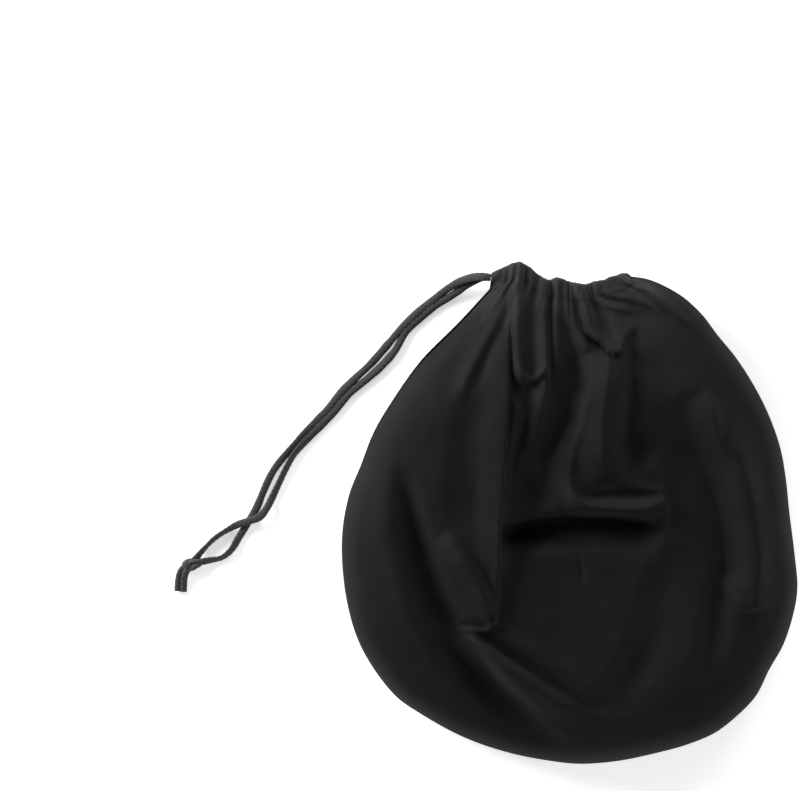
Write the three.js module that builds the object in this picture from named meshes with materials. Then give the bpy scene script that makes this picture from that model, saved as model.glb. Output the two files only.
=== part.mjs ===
// A soft drawstring bag of black cloth, lying on its back with its mouth towards +Y.
// The origin is on the surface it lies on, under the middle of the bag's own box.
import * as THREE from 'three';

// Driving sizes, in millimetres
const BAG_WIDTH = 455.7;
const BAG_LENGTH = 503.7;
const SEAM_HEIGHT = 18; // the sewn outline above the surface
const FRONT_RISE = 46; // the puffed rim of the front panel above the seam
const CENTRE_SINK = 4; // how far the front panel sags inside its puffed rim
const RIM_WIDTH = 90; // from the outline in to the crest of the rim
const SAG_START = 54; // how far in from the outline the sag begins
const FOLD_FADE = 60; // the folds reach their full height this far in from the outline
const UNDER_RIM = 56; // from the outline in to where the back panel lies flat
const CLOTH = 1.5;
const GAP = 0.3; // between the two panels at the seam
const CASING_GAP = 0.9; // between the casing and the panels below it
const CASING_DEPTH = 18; // from the mouth's edge down to the casing's stitching
const CASING_HOLLOW = 5;
const MOUTH_GAP = 14; // between the front and back casings in the middle of the mouth
const RUFFLE_HEIGHT = 1.6;
const RUFFLES = 10;
const LIFT_EASE = 0.7; // the mouth parts with this power of the arch between its corners
const RUFFLE_EASE = 0.5; // and its ruffles grow with this one
const UNDER_RUFFLE = 0.5; // the share of the ruffles that the back casing has
const CORD_WIDTH = 6.2;
const CORD_THICK = 3.4;
const CORD_RIDE = 3.5; // the drawstring lies this far from the casing's middle, nearer the mouth
const KNOT_LENGTH = 22;
const KNOT_WIDTH = 13;
const KNOT_THICK = 10;
const TAIL_WIDTH = 5.6;

// How finely each form is divided
const FRONT_COLUMNS = 56;
const FRONT_ROWS = 22;
const BACK_COLUMNS = 28;
const BACK_ROWS = 11;
const LIP_STEPS = 40;
const CORNER_STEPS = 4;
const SECTION_SIDES = 8;
const STRAND_STEPS = 28;
const KNOT_SIDES = 12;
const KNOT_ROWS = 8;
const TAIL_STEPS = 4;
const FOLD_STEPS = 5; // between two points of a fold's path
const OUTLINE_STEPS = 160;
const SIDE_PULL = 0.6; // how far a panel's columns are drawn towards its sewn sides
const BOTTOM_PULL = 0.7; // how far its rows are drawn towards its sewn bottom

const HALF_WIDTH = BAG_WIDTH / 2;
const HALF_LENGTH = BAG_LENGTH / 2;
const CASING_THICK = CASING_HOLLOW + 2 * CLOTH;

// The mouth's edge from its left corner to its right corner: x as a share of the half width,
// y of the half length, and the casing's slant in degrees from straight down.
const MOUTH_EDGE = [
  { x: -0.341, y: 0.950, slant: -8 },
  { x: -0.281, y: 0.976, slant: -8 },
  { x: -0.221, y: 0.993, slant: -7 },
  { x: -0.163, y: 0.962, slant: -5 },
  { x: -0.102, y: 0.925, slant: -3 },
  { x: -0.043, y: 0.930, slant: -1 },
  { x: 0.016, y: 0.910, slant: 2 },
  { x: 0.080, y: 0.908, slant: 10 },
  { x: 0.135, y: 0.900, slant: 22 },
  { x: 0.177, y: 0.899, slant: 38 },
  { x: 0.208, y: 0.909, slant: 56 },
  { x: 0.228, y: 0.926, slant: 72 },
];

// The sewn outline from the mouth's left corner round the bottom to its right corner, as shares
// of the half width and the half length.
const OUTLINE = [
  { x: -0.488, y: 0.745 }, { x: -0.651, y: 0.598 }, { x: -0.770, y: 0.450 },
  { x: -0.859, y: 0.316 }, { x: -0.918, y: 0.181 }, { x: -0.970, y: 0.061 },
  { x: -1.000, y: -0.114 }, { x: -0.978, y: -0.355 }, { x: -0.911, y: -0.544 },
  { x: -0.770, y: -0.725 }, { x: -0.651, y: -0.803 }, { x: -0.458, y: -0.897 },
  { x: -0.266, y: -0.956 }, { x: -0.088, y: -0.988 }, { x: 0.046, y: -1.000 },
  { x: 0.209, y: -0.989 }, { x: 0.372, y: -0.959 }, { x: 0.521, y: -0.922 },
  { x: 0.639, y: -0.876 }, { x: 0.728, y: -0.815 }, { x: 0.817, y: -0.731 },
  { x: 0.877, y: -0.624 }, { x: 0.936, y: -0.530 }, { x: 0.981, y: -0.409 },
  { x: 1.000, y: -0.302 }, { x: 0.988, y: -0.168 }, { x: 0.966, y: -0.006 },
  { x: 0.951, y: 0.128 }, { x: 0.928, y: 0.249 }, { x: 0.892, y: 0.369 },
  { x: 0.832, y: 0.490 }, { x: 0.743, y: 0.611 }, { x: 0.654, y: 0.705 },
  { x: 0.595, y: 0.785 }, { x: 0.506, y: 0.853 }, { x: 0.412, y: 0.903 },
  { x: 0.345, y: 0.926 },
];

// The folds of the front panel. rise is the height at the crest as a share of FRONT_RISE, below
// zero for a valley. left and right are the widths on either hand of someone who walks the path,
// as shares of the half width. Each point of a path has its place, as shares of the half width
// and the half length, and k, the share of the rise that it has there.
const FOLDS = [
  { name: 'long_crease', rise: 0.36, left: 0.30, right: 0.05, path: [
    { x: -0.323, y: -0.480, k: 0.00 }, { x: -0.316, y: -0.440, k: 0.70 }, { x: -0.301, y: -0.167, k: 1.00 },
    { x: -0.288, y: 0.099, k: 0.95 }, { x: -0.271, y: 0.369, k: 0.80 }, { x: -0.262, y: 0.600, k: 0.55 },
    { x: -0.262, y: 0.780, k: 0.20 }] },
  { name: 'hollow_by_crease', rise: -0.26, left: 0.05, right: 0.20, path: [
    { x: -0.270, y: -0.300, k: 0.00 }, { x: -0.262, y: -0.150, k: 1.00 }, { x: -0.250, y: 0.150, k: 0.90 },
    { x: -0.205, y: 0.420, k: 0.70 }, { x: -0.190, y: 0.520, k: 0.00 }] },
  { name: 'left_valley', rise: -0.42, left: 0.19, right: 0.11, path: [
    { x: -0.080, y: -0.850, k: 0.00 }, { x: -0.280, y: -0.740, k: 0.50 }, { x: -0.410, y: -0.620, k: 0.85 },
    { x: -0.480, y: -0.500, k: 1.00 }, { x: -0.530, y: -0.369, k: 1.00 }, { x: -0.600, y: -0.220, k: 0.85 },
    { x: -0.665, y: -0.032, k: 0.55 }, { x: -0.715, y: 0.143, k: 0.20 }, { x: -0.740, y: 0.260, k: 0.00 }] },
  { name: 'slant_ridge', rise: 0.14, left: 0.06, right: 0.08, path: [
    { x: -0.480, y: -0.470, k: 0.90 }, { x: -0.400, y: -0.530, k: 1.00 }, { x: -0.310, y: -0.590, k: 1.00 },
    { x: -0.161, y: -0.670, k: 0.80 }, { x: 0.020, y: -0.770, k: 0.30 }, { x: 0.100, y: -0.800, k: 0.00 }] },
  { name: 'light_patch', rise: 0.13, left: 0.09, right: 0.12, path: [
    { x: -0.420, y: -0.440, k: 0.90 }, { x: -0.450, y: -0.330, k: 1.00 }, { x: -0.500, y: -0.190, k: 0.50 },
    { x: -0.520, y: -0.100, k: 0.00 }] },
  { name: 'centre_ridge', rise: 0.36, left: 0.12, right: 0.06, path: [
    { x: 0.110, y: 0.030, k: 0.20 }, { x: 0.118, y: 0.150, k: 0.80 }, { x: 0.128, y: 0.234, k: 1.00 },
    { x: 0.138, y: 0.369, k: 1.00 }, { x: 0.150, y: 0.504, k: 1.00 }, { x: 0.160, y: 0.620, k: 0.70 },
    { x: 0.168, y: 0.700, k: 0.10 }] },
  { name: 'ridge_foot', rise: 0.22, left: 0.16, right: 0.06, path: [
    { x: 0.000, y: 0.080, k: 0.40 }, { x: 0.060, y: 0.040, k: 1.00 }, { x: 0.200, y: 0.044, k: 1.00 },
    { x: 0.320, y: 0.055, k: 0.90 }, { x: 0.420, y: 0.066, k: 0.40 }, { x: 0.460, y: 0.070, k: 0.00 }] },
  { name: 'cross_valley', rise: -0.48, left: 0.16, right: 0.30, path: [
    { x: -0.330, y: -0.160, k: 0.00 }, { x: -0.260, y: -0.160, k: 1.00 }, { x: -0.150, y: -0.165, k: 1.00 },
    { x: -0.042, y: -0.165, k: 0.95 }, { x: 0.130, y: -0.160, k: 0.85 }, { x: 0.280, y: -0.140, k: 0.75 },
    { x: 0.380, y: -0.120, k: 0.40 }, { x: 0.440, y: -0.100, k: 0.00 }] },
  { name: 'centre_hollow', rise: -0.24, left: 0.12, right: 0.10, path: [
    { x: -0.130, y: -0.050, k: 0.30 }, { x: -0.130, y: 0.160, k: 1.00 }, { x: -0.070, y: 0.330, k: 1.00 },
    { x: -0.020, y: 0.460, k: 0.60 }, { x: 0.000, y: 0.600, k: 0.00 }] },
  { name: 'right_hollow', rise: -0.26, left: 0.08, right: 0.20, path: [
    { x: 0.200, y: 0.120, k: 0.20 }, { x: 0.200, y: 0.220, k: 1.00 }, { x: 0.215, y: 0.420, k: 1.00 },
    { x: 0.230, y: 0.520, k: 0.60 }, { x: 0.250, y: 0.600, k: 0.00 }] },
  { name: 'right_ridge', rise: 0.24, left: 0.10, right: 0.10, path: [
    { x: 0.800, y: -0.400, k: 0.00 }, { x: 0.770, y: -0.340, k: 0.80 }, { x: 0.730, y: -0.234, k: 1.00 },
    { x: 0.690, y: -0.032, k: 1.00 }, { x: 0.620, y: 0.206, k: 0.90 }, { x: 0.540, y: 0.380, k: 0.40 },
    { x: 0.500, y: 0.449, k: 0.00 }] },
  { name: 'right_valley', rise: -0.30, left: 0.24, right: 0.10, path: [
    { x: 0.660, y: -0.400, k: 0.00 }, { x: 0.630, y: -0.250, k: 0.70 }, { x: 0.590, y: -0.100, k: 1.00 },
    { x: 0.540, y: 0.048, k: 1.00 }, { x: 0.450, y: 0.250, k: 0.80 }, { x: 0.360, y: 0.400, k: 0.30 },
    { x: 0.330, y: 0.450, k: 0.00 }] },
  { name: 'right_edge_dip', rise: -0.16, left: 0.08, right: 0.08, path: [
    { x: 0.850, y: -0.380, k: 0.00 }, { x: 0.850, y: -0.100, k: 1.00 }, { x: 0.810, y: 0.100, k: 0.80 },
    { x: 0.770, y: 0.250, k: 0.00 }] },
  { name: 'lower_right_valley', rise: -0.18, left: 0.14, right: 0.14, path: [
    { x: 0.260, y: -0.560, k: 0.00 }, { x: 0.330, y: -0.440, k: 1.00 }, { x: 0.420, y: -0.300, k: 1.00 },
    { x: 0.500, y: -0.180, k: 0.60 }, { x: 0.540, y: -0.100, k: 0.00 }] },
  { name: 'low_right_hollow', rise: -0.14, left: 0.10, right: 0.10, path: [
    { x: 0.560, y: -0.640, k: 0.00 }, { x: 0.570, y: -0.560, k: 1.00 }, { x: 0.600, y: -0.400, k: 0.70 },
    { x: 0.640, y: -0.200, k: 0.80 }, { x: 0.640, y: -0.100, k: 0.00 }] },
  { name: 'pleat_left', rise: 0.20, left: 0.050, right: 0.045, path: [
    { x: -0.200, y: 0.520, k: 0.60 }, { x: -0.212, y: 0.600, k: 1.00 }, { x: -0.220, y: 0.720, k: 1.00 },
    { x: -0.222, y: 0.900, k: 0.80 }] },
  { name: 'pleat_right', rise: 0.22, left: 0.045, right: 0.040, path: [
    { x: -0.125, y: 0.500, k: 0.20 }, { x: -0.115, y: 0.600, k: 1.00 }, { x: -0.108, y: 0.720, k: 1.00 },
    { x: -0.100, y: 0.900, k: 0.80 }] },
  { name: 'below_pleat', rise: -0.20, left: 0.06, right: 0.05, path: [
    { x: -0.215, y: 0.300, k: 0.00 }, { x: -0.205, y: 0.420, k: 1.00 }, { x: -0.170, y: 0.490, k: 1.00 },
    { x: -0.110, y: 0.470, k: 0.40 }, { x: -0.090, y: 0.460, k: 0.00 }] },
  { name: 'flap', rise: 0.22, left: 0.100, right: 0.045, path: [
    { x: 0.250, y: 0.700, k: 0.20 }, { x: 0.228, y: 0.670, k: 0.70 }, { x: 0.205, y: 0.650, k: 1.00 },
    { x: 0.150, y: 0.665, k: 1.00 }, { x: 0.090, y: 0.705, k: 1.00 }, { x: 0.070, y: 0.740, k: 1.00 },
    { x: 0.050, y: 0.810, k: 1.00 }, { x: 0.020, y: 0.860, k: 1.00 }, { x: -0.020, y: 0.905, k: 0.80 }] },
  { name: 'upper_left_fold', rise: 0.08, left: 0.08, right: 0.08, path: [
    { x: -0.540, y: 0.440, k: 0.00 }, { x: -0.459, y: 0.544, k: 1.00 }, { x: -0.370, y: 0.640, k: 0.80 },
    { x: -0.280, y: 0.760, k: 0.60 }] },
  { name: 'left_gather', rise: -0.12, left: 0.06, right: 0.06, path: [
    { x: -0.480, y: 0.440, k: 0.00 }, { x: -0.380, y: 0.540, k: 1.00 }, { x: -0.300, y: 0.660, k: 1.00 },
    { x: -0.265, y: 0.800, k: 0.20 }] },
  { name: 'shoulder_fold_inner', rise: 0.12, left: 0.045, right: 0.040, path: [
    { x: 0.340, y: 0.770, k: 0.00 }, { x: 0.290, y: 0.795, k: 1.00 }, { x: 0.220, y: 0.830, k: 1.00 },
    { x: 0.150, y: 0.870, k: 0.80 }] },
  { name: 'shoulder_fold_outer', rise: 0.12, left: 0.050, right: 0.045, path: [
    { x: 0.620, y: 0.640, k: 0.00 }, { x: 0.528, y: 0.727, k: 1.00 }, { x: 0.440, y: 0.810, k: 1.00 },
    { x: 0.320, y: 0.890, k: 0.60 }] },
];

// The free cords: centre lines of both strands from the mouth to the knot, then the tails, in
// millimetres. They lie on the surface past the first few points, and one passes over the other.
const STRAND_UPPER = [
  [-78.9, 234.4, 22.3], [-87.0, 235.3, 22.3], [-97.0, 234.8, 17.5], [-107.5, 231.6, 10.5],
  [-117.5, 226.4, 5.0], [-127.0, 219.8, 2.3], [-137.0, 211.6, 2.1], [-152.5, 199.4, 2.1],
  [-168.0, 184.2, 2.1], [-183.0, 166.4, 2.1], [-198.5, 148.8, 2.1], [-213.8, 134.4, 2.1],
  [-227.0, 121.6, 2.1], [-242.4, 102.2, 2.1], [-257.6, 86.6, 2.1], [-270.0, 73.6, 2.1],
  [-279.6, 62.4, 2.1], [-291.2, 48.8, 2.1], [-299.0, 37.0, 2.1], [-306.8, 20.0, 2.1],
  [-313.2, 4.5, 2.1], [-321.6, -10.0, 2.1], [-331.0, -25.5, 2.1], [-339.4, -39.0, 2.1],
  [-348.6, -46.2, 2.3], [-358.0, -48.3, 3.4], [-367.5, -50.0, 4.8],
];
const STRAND_LOWER = [
  [-78.9, 234.4, 13.7], [-87.0, 234.8, 13.7], [-96.0, 231.0, 10.6], [-104.5, 225.6, 6.4],
  [-113.0, 219.2, 3.4], [-122.5, 212.2, 2.1], [-132.5, 204.4, 2.1], [-147.0, 192.8, 2.1],
  [-160.5, 178.0, 2.1], [-171.8, 160.4, 2.1], [-184.5, 144.8, 2.1], [-200.2, 130.8, 2.1],
  [-217.0, 115.6, 2.1], [-234.6, 95.4, 2.1], [-250.4, 79.4, 2.1], [-263.0, 66.6, 2.1],
  [-273.6, 54.4, 2.1], [-282.6, 43.0, 2.1], [-291.0, 28.6, 2.1], [-297.6, 14.6, 2.6],
  [-303.6, 3.0, 5.0], [-311.0, -5.6, 6.4], [-321.5, -9.4, 6.6], [-331.5, -12.6, 5.0],
  [-343.0, -18.6, 2.6], [-355.0, -26.4, 2.3], [-365.0, -36.0, 3.2], [-373.4, -45.9, 4.8],
];
const KNOT_PLACE = [-378.6, -53.0];
const KNOT_TURN = 10; // degrees in plan
const TAILS = [
  { name: 'tail_a', path: [
    [-387.8, -58.6, 4.8], [-389.9, -61.8, 4.4], [-393.2, -67.5, 2.8], [-395.3, -74.0, 2.1],
    [-395.6, -80.0, 2.1]] },
  { name: 'tail_b', path: [
    [-380.6, -60.4, 4.8], [-380.8, -64.0, 4.4], [-384.0, -69.2, 3.0], [-387.2, -75.2, 2.1],
    [-388.0, -81.5, 2.1]] },
];

const clothBlack = { color: 0x1b1b1c, roughness: 0.85, metalness: 0 };
const cordGrey = { color: 0x434344, roughness: 0.8, metalness: 0 };

const clamp01 = (value) => Math.min(1, Math.max(0, value));
const smooth = (value) => clamp01(value) ** 2 * (3 - 2 * clamp01(value));
const mix = (a, b, share) => a + (b - a) * share;

// A smooth curve through rows of shares, in plan.
function planCurve(points) {
  const vectors = points.map(([x, y]) => new THREE.Vector3(x, y, 0));
  return new THREE.CatmullRomCurve3(vectors, false, 'centripetal');
}

const lipCurve = planCurve(MOUTH_EDGE.map(({ x, y }) => [x * HALF_WIDTH, y * HALF_LENGTH]));

// The slant of the casing at a share of the way along the mouth.
function slantAt(share) {
  const place = clamp01(share) * (MOUTH_EDGE.length - 1);
  const first = Math.min(MOUTH_EDGE.length - 2, Math.floor(place));
  const degrees = mix(MOUTH_EDGE[first].slant, MOUTH_EDGE[first + 1].slant, place - first);
  return THREE.MathUtils.degToRad(degrees);
}

// The mouth's edge, the way down into the bag and the casing's height above or below the seam.
function lipAt(share) {
  const edge = lipCurve.getPoint(share);
  const slant = slantAt(share);
  const down = new THREE.Vector3(Math.sin(slant), -Math.cos(slant), 0);
  const closed = CASING_THICK / 2 + GAP;
  const open = Math.sin(Math.PI * share) ** LIFT_EASE * (MOUTH_GAP / 2 - GAP);
  const ruffle = RUFFLE_HEIGHT * Math.sin(2 * Math.PI * RUFFLES * share) * Math.sin(Math.PI * share) ** RUFFLE_EASE;
  return { edge, down, lift: closed + open, ruffle };
}

// The edge of a panel under the casing's stitching.
function panelTop(share) {
  const { edge, down } = lipAt(share);
  return edge.clone().addScaledVector(down, CASING_DEPTH + CASING_GAP);
}

const outlinePoints = [
  panelTop(0),
  ...OUTLINE.map(({ x, y }) => new THREE.Vector3(x * HALF_WIDTH, y * HALF_LENGTH, 0)),
  panelTop(1),
];
const outlineCurve = new THREE.CatmullRomCurve3(outlinePoints, false, 'centripetal');
const outlinePolyline = outlineCurve.getSpacedPoints(OUTLINE_STEPS);

// The shares of the outline where a panel's left side ends and its right side starts.
const LEFT_SIDE = 0.36;
const RIGHT_SIDE = 0.68;

// The place in plan of a panel's point: across from left to right, down from mouth to bottom.
function planAt(across, down) {
  const top = panelTop(across);
  const bottom = outlineCurve.getPointAt(mix(LEFT_SIDE, RIGHT_SIDE, across));
  const left = outlineCurve.getPointAt(LEFT_SIDE * down);
  const right = outlineCurve.getPointAt(mix(1, RIGHT_SIDE, down));
  const corners = [panelTop(0), panelTop(1), outlineCurve.getPointAt(LEFT_SIDE), outlineCurve.getPointAt(RIGHT_SIDE)];
  const blend = (axis) => {
    const [topLeft, topRight, bottomLeft, bottomRight] = corners.map((corner) => corner[axis]);
    const sides = mix(left[axis], right[axis], across) + mix(top[axis], bottom[axis], down);
    return sides - mix(mix(topLeft, topRight, across), mix(bottomLeft, bottomRight, across), down);
  };
  return new THREE.Vector2(blend('x'), blend('y'));
}

// The nearest point on a path: how far off, on which side, and the share of the way in its part.
function nearestOn(path, x, y) {
  let best = { distance: Infinity, side: 1, index: 0, share: 0 };
  for (let index = 0; index + 1 < path.length; index += 1) {
    const a = path[index];
    const b = path[index + 1];
    const along = { x: b.x - a.x, y: b.y - a.y };
    const from = { x: x - a.x, y: y - a.y };
    const share = clamp01((from.x * along.x + from.y * along.y) / (along.x ** 2 + along.y ** 2));
    const distance = Math.hypot(from.x - share * along.x, from.y - share * along.y);
    if (distance < best.distance) {
      const side = along.x * from.y - along.y * from.x < 0 ? 1 : -1;
      best = { distance, side, index, share };
    }
  }
  return best;
}

// Each fold's path as a smooth line through its points. The strength k rides along as a third axis.
const foldPaths = FOLDS.map((fold) => {
  const rows = fold.path.map(({ x, y, k }) => new THREE.Vector3(x * HALF_WIDTH, y * HALF_LENGTH, k));
  const line = new THREE.CatmullRomCurve3(rows, false, 'catmullrom', 0.5).getPoints(FOLD_STEPS * (rows.length - 1));
  return { ...fold, points: line.map(({ x, y, z }) => ({ x, y, k: clamp01(z) })) };
});

// What all the folds add to the front panel at a place in plan.
function foldHeight(x, y) {
  let height = 0;
  for (const { points, rise, left, right } of foldPaths) {
    const near = nearestOn(points, x, y);
    const width = (near.side > 0 ? right : left) * HALF_WIDTH;
    const strength = mix(points[near.index].k, points[near.index + 1].k, near.share);
    height += rise * FRONT_RISE * strength * smooth(1 - near.distance / width);
  }
  return height;
}

// How square the puffed edges are: 2 is a quarter of a circle.
const ROUND = 2.4;

// A puffed edge: it leaves the seam upright and levels out where the width is reached.
const puff = (distance, width) => (1 - (1 - clamp01(distance / width)) ** ROUND) ** (1 / ROUND);

// How a panel's height changes from its edge at the mouth to its field.
const MOUTH_REACH = 0.3;
const GATHER_FADE = 6;

function frontPoint(across, down) {
  const plan = planAt(across, down);
  const { distance } = nearestOn(outlinePolyline, plan.x, plan.y);
  const sag = CENTRE_SINK * smooth((distance - SAG_START) / (HALF_WIDTH - RIM_WIDTH));
  const dome = FRONT_RISE * puff(distance, RIM_WIDTH);
  const field = dome - sag + foldHeight(plan.x, plan.y) * smooth(distance / FOLD_FADE);
  const { lift, ruffle } = lipAt(across);
  const seamFade = puff(distance, CASING_DEPTH);
  const gather = ruffle * Math.exp(-down * GATHER_FADE);
  const height = mix(lift, field, smooth(down / MOUTH_REACH)) + gather;
  const low = Math.min(CLOTH, distance);
  return new THREE.Vector3(plan.x, plan.y, SEAM_HEIGHT + GAP / 2 + Math.max(low, height * seamFade));
}

function backPoint(across, down) {
  const plan = planAt(across, down);
  const { distance } = nearestOn(outlinePolyline, plan.x, plan.y);
  const field = (SEAM_HEIGHT - GAP / 2) * puff(distance, UNDER_RIM);
  const height = mix(lipAt(across).lift, field, smooth(down / MOUTH_REACH)) * puff(distance, CASING_DEPTH);
  const low = Math.min(CLOTH, distance);
  return new THREE.Vector3(plan.x, plan.y, SEAM_HEIGHT - GAP / 2 - Math.max(low, height));
}

// A closed mesh of a BufferGeometry with its faces turned outwards.
function closedGeometry(points, faces) {
  let volume = 0;
  for (const [a, b, c] of faces) {
    volume += points[a].dot(new THREE.Vector3().crossVectors(points[b], points[c])) / 6;
  }
  const indices = volume > 0 ? faces.flat() : faces.flatMap(([a, b, c]) => [a, c, b]);
  const geometry = new THREE.BufferGeometry();
  geometry.setAttribute('position', new THREE.Float32BufferAttribute(points.flatMap((p) => p.toArray()), 3));
  geometry.setIndex(indices);
  geometry.computeVertexNormals();
  return geometry;
}

const quad = (a, b, c, d) => [[a, b, c], [a, c, d]];

// Evenly spread shares, drawn towards both ends, where the sewn edge is steep.
function drawnOut(count, pull) {
  return Array.from({ length: count + 1 }, (_, i) => {
    const share = i / count;
    return share - (pull * Math.sin(2 * Math.PI * share)) / (2 * Math.PI);
  });
}

// Shares from the mouth, evenly spread, drawn towards the sewn bottom.
function drawnDown(count) {
  return Array.from({ length: count + 1 }, (_, i) => {
    const share = i / count;
    return share + (BOTTOM_PULL * Math.sin(Math.PI * share)) / Math.PI;
  });
}

// A cloth wall: the outer face follows the surface, the inner face lies one cloth inside it.
// inward is 1 where the inside is below the surface, as on the front, and -1 where it is above.
function clothPanel(surface, columns, rows, inward) {
  const across = drawnOut(columns, SIDE_PULL);
  const down = drawnDown(rows);
  const outer = down.map((v) => across.map((u) => surface(u, v)));
  const inner = outer.map((row, j) => row.map((point, i) => {
    const left = row[Math.max(0, i - 1)];
    const right = row[Math.min(columns, i + 1)];
    const above = outer[Math.max(0, j - 1)][i];
    const below = outer[Math.min(rows, j + 1)][i];
    const along = new THREE.Vector3().subVectors(right, left);
    const normal = new THREE.Vector3().crossVectors(along, new THREE.Vector3().subVectors(above, below));
    const sewn = i === 0 || i === columns || j === rows;
    const atCasing = j === 0;
    if (atCasing) normal.set(0, 0, 1);
    normal.normalize();
    if (normal.z < 0) normal.negate();
    const within = point.clone().addScaledVector(normal, sewn ? 0 : -CLOTH * inward);
    const seam = SEAM_HEIGHT + (inward * GAP) / 2;
    within.z = inward > 0 ? Math.max(seam, within.z) : Math.min(seam, within.z);
    return within;
  }));
  sewEdges(outer, inner, columns, rows);
  const width = columns + 1;
  const points = [...outer.flat(), ...inner.flat()];
  const innerFrom = width * (rows + 1);
  const faces = [];
  for (let j = 0; j < rows; j += 1) {
    for (let i = 0; i < columns; i += 1) {
      const a = j * width + i;
      faces.push(...quad(a, a + width, a + width + 1, a + 1));
      const b = innerFrom + a;
      faces.push(...quad(b, b + 1, b + width + 1, b + width));
    }
  }
  const ring = [
    ...Array.from({ length: columns }, (_, i) => i),
    ...Array.from({ length: rows }, (_, j) => j * width + columns),
    ...Array.from({ length: columns }, (_, i) => rows * width + columns - i),
    ...Array.from({ length: rows }, (_, j) => (rows - j) * width),
  ];
  ring.forEach((a, i) => {
    const b = ring[(i + 1) % ring.length];
    faces.push(...quad(a, b, innerFrom + b, innerFrom + a));
  });
  return closedGeometry(points, faces);
}

// The sewn edges meet the other panel level, so their inner face lies one cloth in, in plan.
function sewEdges(outer, inner, columns, rows) {
  const place = (j, i) => {
    const middle = new THREE.Vector3(0, 0, outer[j][i].z);
    let nearest = { distance: Infinity, index: 0 };
    outlinePolyline.forEach((point, index) => {
      const distance = Math.hypot(point.x - outer[j][i].x, point.y - outer[j][i].y);
      if (distance < nearest.distance) nearest = { distance, index };
    });
    const before = outlinePolyline[Math.max(0, nearest.index - 1)];
    const after = outlinePolyline[Math.min(outlinePolyline.length - 1, nearest.index + 1)];
    const inwards = new THREE.Vector3(before.y - after.y, after.x - before.x, 0).normalize();
    if (inwards.dot(middle.sub(outer[j][i])) < 0) inwards.negate();
    inner[j][i] = outer[j][i].clone().addScaledVector(inwards, CLOTH);
  };
  for (let j = 1; j <= rows; j += 1) {
    place(j, 0);
    place(j, columns);
  }
  for (let i = 1; i < columns; i += 1) place(rows, i);
  for (const i of [0, columns]) {
    inner[0][i] = inner[1][i].clone().add(outer[0][i]).sub(outer[1][i]);
  }
}

// The stations of the casing: round the mouth from its left corner by the front, and back.
function casingStations() {
  const stations = [];
  const up = new THREE.Vector3(0, 0, 1);
  for (let i = 0; i <= LIP_STEPS; i += 1) {
    const { edge, down, lift, ruffle } = lipAt(i / LIP_STEPS);
    const middle = edge.clone().addScaledVector(down, CASING_DEPTH / 2);
    middle.z = SEAM_HEIGHT + lift + ruffle;
    stations.push({ middle, down, outward: up.clone() });
  }
  const { edge, down, lift } = lipAt(1);
  const hinge = edge.clone().addScaledVector(down, CASING_DEPTH / 2).setZ(SEAM_HEIGHT);
  const aside = new THREE.Vector3().crossVectors(up, down);
  for (let i = 1; i < CORNER_STEPS; i += 1) {
    const turn = (Math.PI * i) / CORNER_STEPS;
    const outward = up.clone().multiplyScalar(Math.cos(turn)).addScaledVector(aside, Math.sin(turn));
    stations.push({ middle: hinge.clone().addScaledVector(outward, lift), down, outward });
  }
  for (let i = LIP_STEPS; i >= 0; i -= 1) {
    const lip = lipAt(i / LIP_STEPS);
    const middle = lip.edge.clone().addScaledVector(lip.down, CASING_DEPTH / 2);
    middle.z = SEAM_HEIGHT - lip.lift + lip.ruffle * UNDER_RUFFLE;
    stations.push({ middle, down: lip.down, outward: up.clone().negate() });
  }
  return stations;
}

// A flattened oval of the given depth and thickness round a station.
function ovalRing(station, depth, thick) {
  return Array.from({ length: SECTION_SIDES }, (_, i) => {
    const turn = (2 * Math.PI * (i + 0.5)) / SECTION_SIDES;
    const corner = Math.cos(Math.PI / SECTION_SIDES);
    const squarer = (value) => Math.sign(value) * Math.min(1, Math.abs(value) / corner) ** 0.75;
    return station.middle.clone()
      .addScaledVector(station.down, (depth / 2) * squarer(Math.cos(turn)))
      .addScaledVector(station.outward, (thick / 2) * squarer(Math.sin(turn)));
  });
}

// Faces between rings of points, from one ring to the next.
function ringFaces(count, start) {
  const faces = [];
  for (let j = 0; j + 1 < count; j += 1) {
    for (let i = 0; i < SECTION_SIDES; i += 1) {
      const a = start + j * SECTION_SIDES + i;
      const b = start + j * SECTION_SIDES + ((i + 1) % SECTION_SIDES);
      faces.push(...quad(a, b, b + SECTION_SIDES, a + SECTION_SIDES));
    }
  }
  return faces;
}

// The casing: a hollow band with an open end on each side of the mouth's left corner.
function hemChannel() {
  const stations = casingStations();
  const outer = stations.map((station) => ovalRing(station, CASING_DEPTH, CASING_THICK));
  const inner = stations.map((station) => ovalRing(station, CASING_DEPTH - 2 * CLOTH, CASING_HOLLOW));
  const innerFrom = stations.length * SECTION_SIDES;
  const faces = ringFaces(stations.length, 0);
  faces.push(...ringFaces(stations.length, innerFrom).map(([a, b, c]) => [a, c, b]));
  const last = (stations.length - 1) * SECTION_SIDES;
  for (let i = 0; i < SECTION_SIDES; i += 1) {
    const next = (i + 1) % SECTION_SIDES;
    faces.push(...quad(next, i, innerFrom + i, innerFrom + next));
    faces.push(...quad(last + i, last + next, innerFrom + last + next, innerFrom + last + i));
  }
  return closedGeometry([...outer, ...inner].flat(), faces);
}

// The drawstring inside the casing.
function drawstringLoop() {
  const stations = casingStations();
  const rings = stations.map(({ middle, down, outward }) => {
    const centre = middle.clone().addScaledVector(down, -CORD_RIDE);
    return ovalRing({ middle: centre, down, outward }, CORD_WIDTH, CORD_THICK);
  });
  const faces = ringFaces(rings.length, 0);
  const last = (rings.length - 1) * SECTION_SIDES;
  for (let i = 1; i + 1 < SECTION_SIDES; i += 1) {
    faces.push([0, i + 1, i], [last, last + i, last + i + 1]);
  }
  return closedGeometry(rings.flat(), faces);
}

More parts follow.
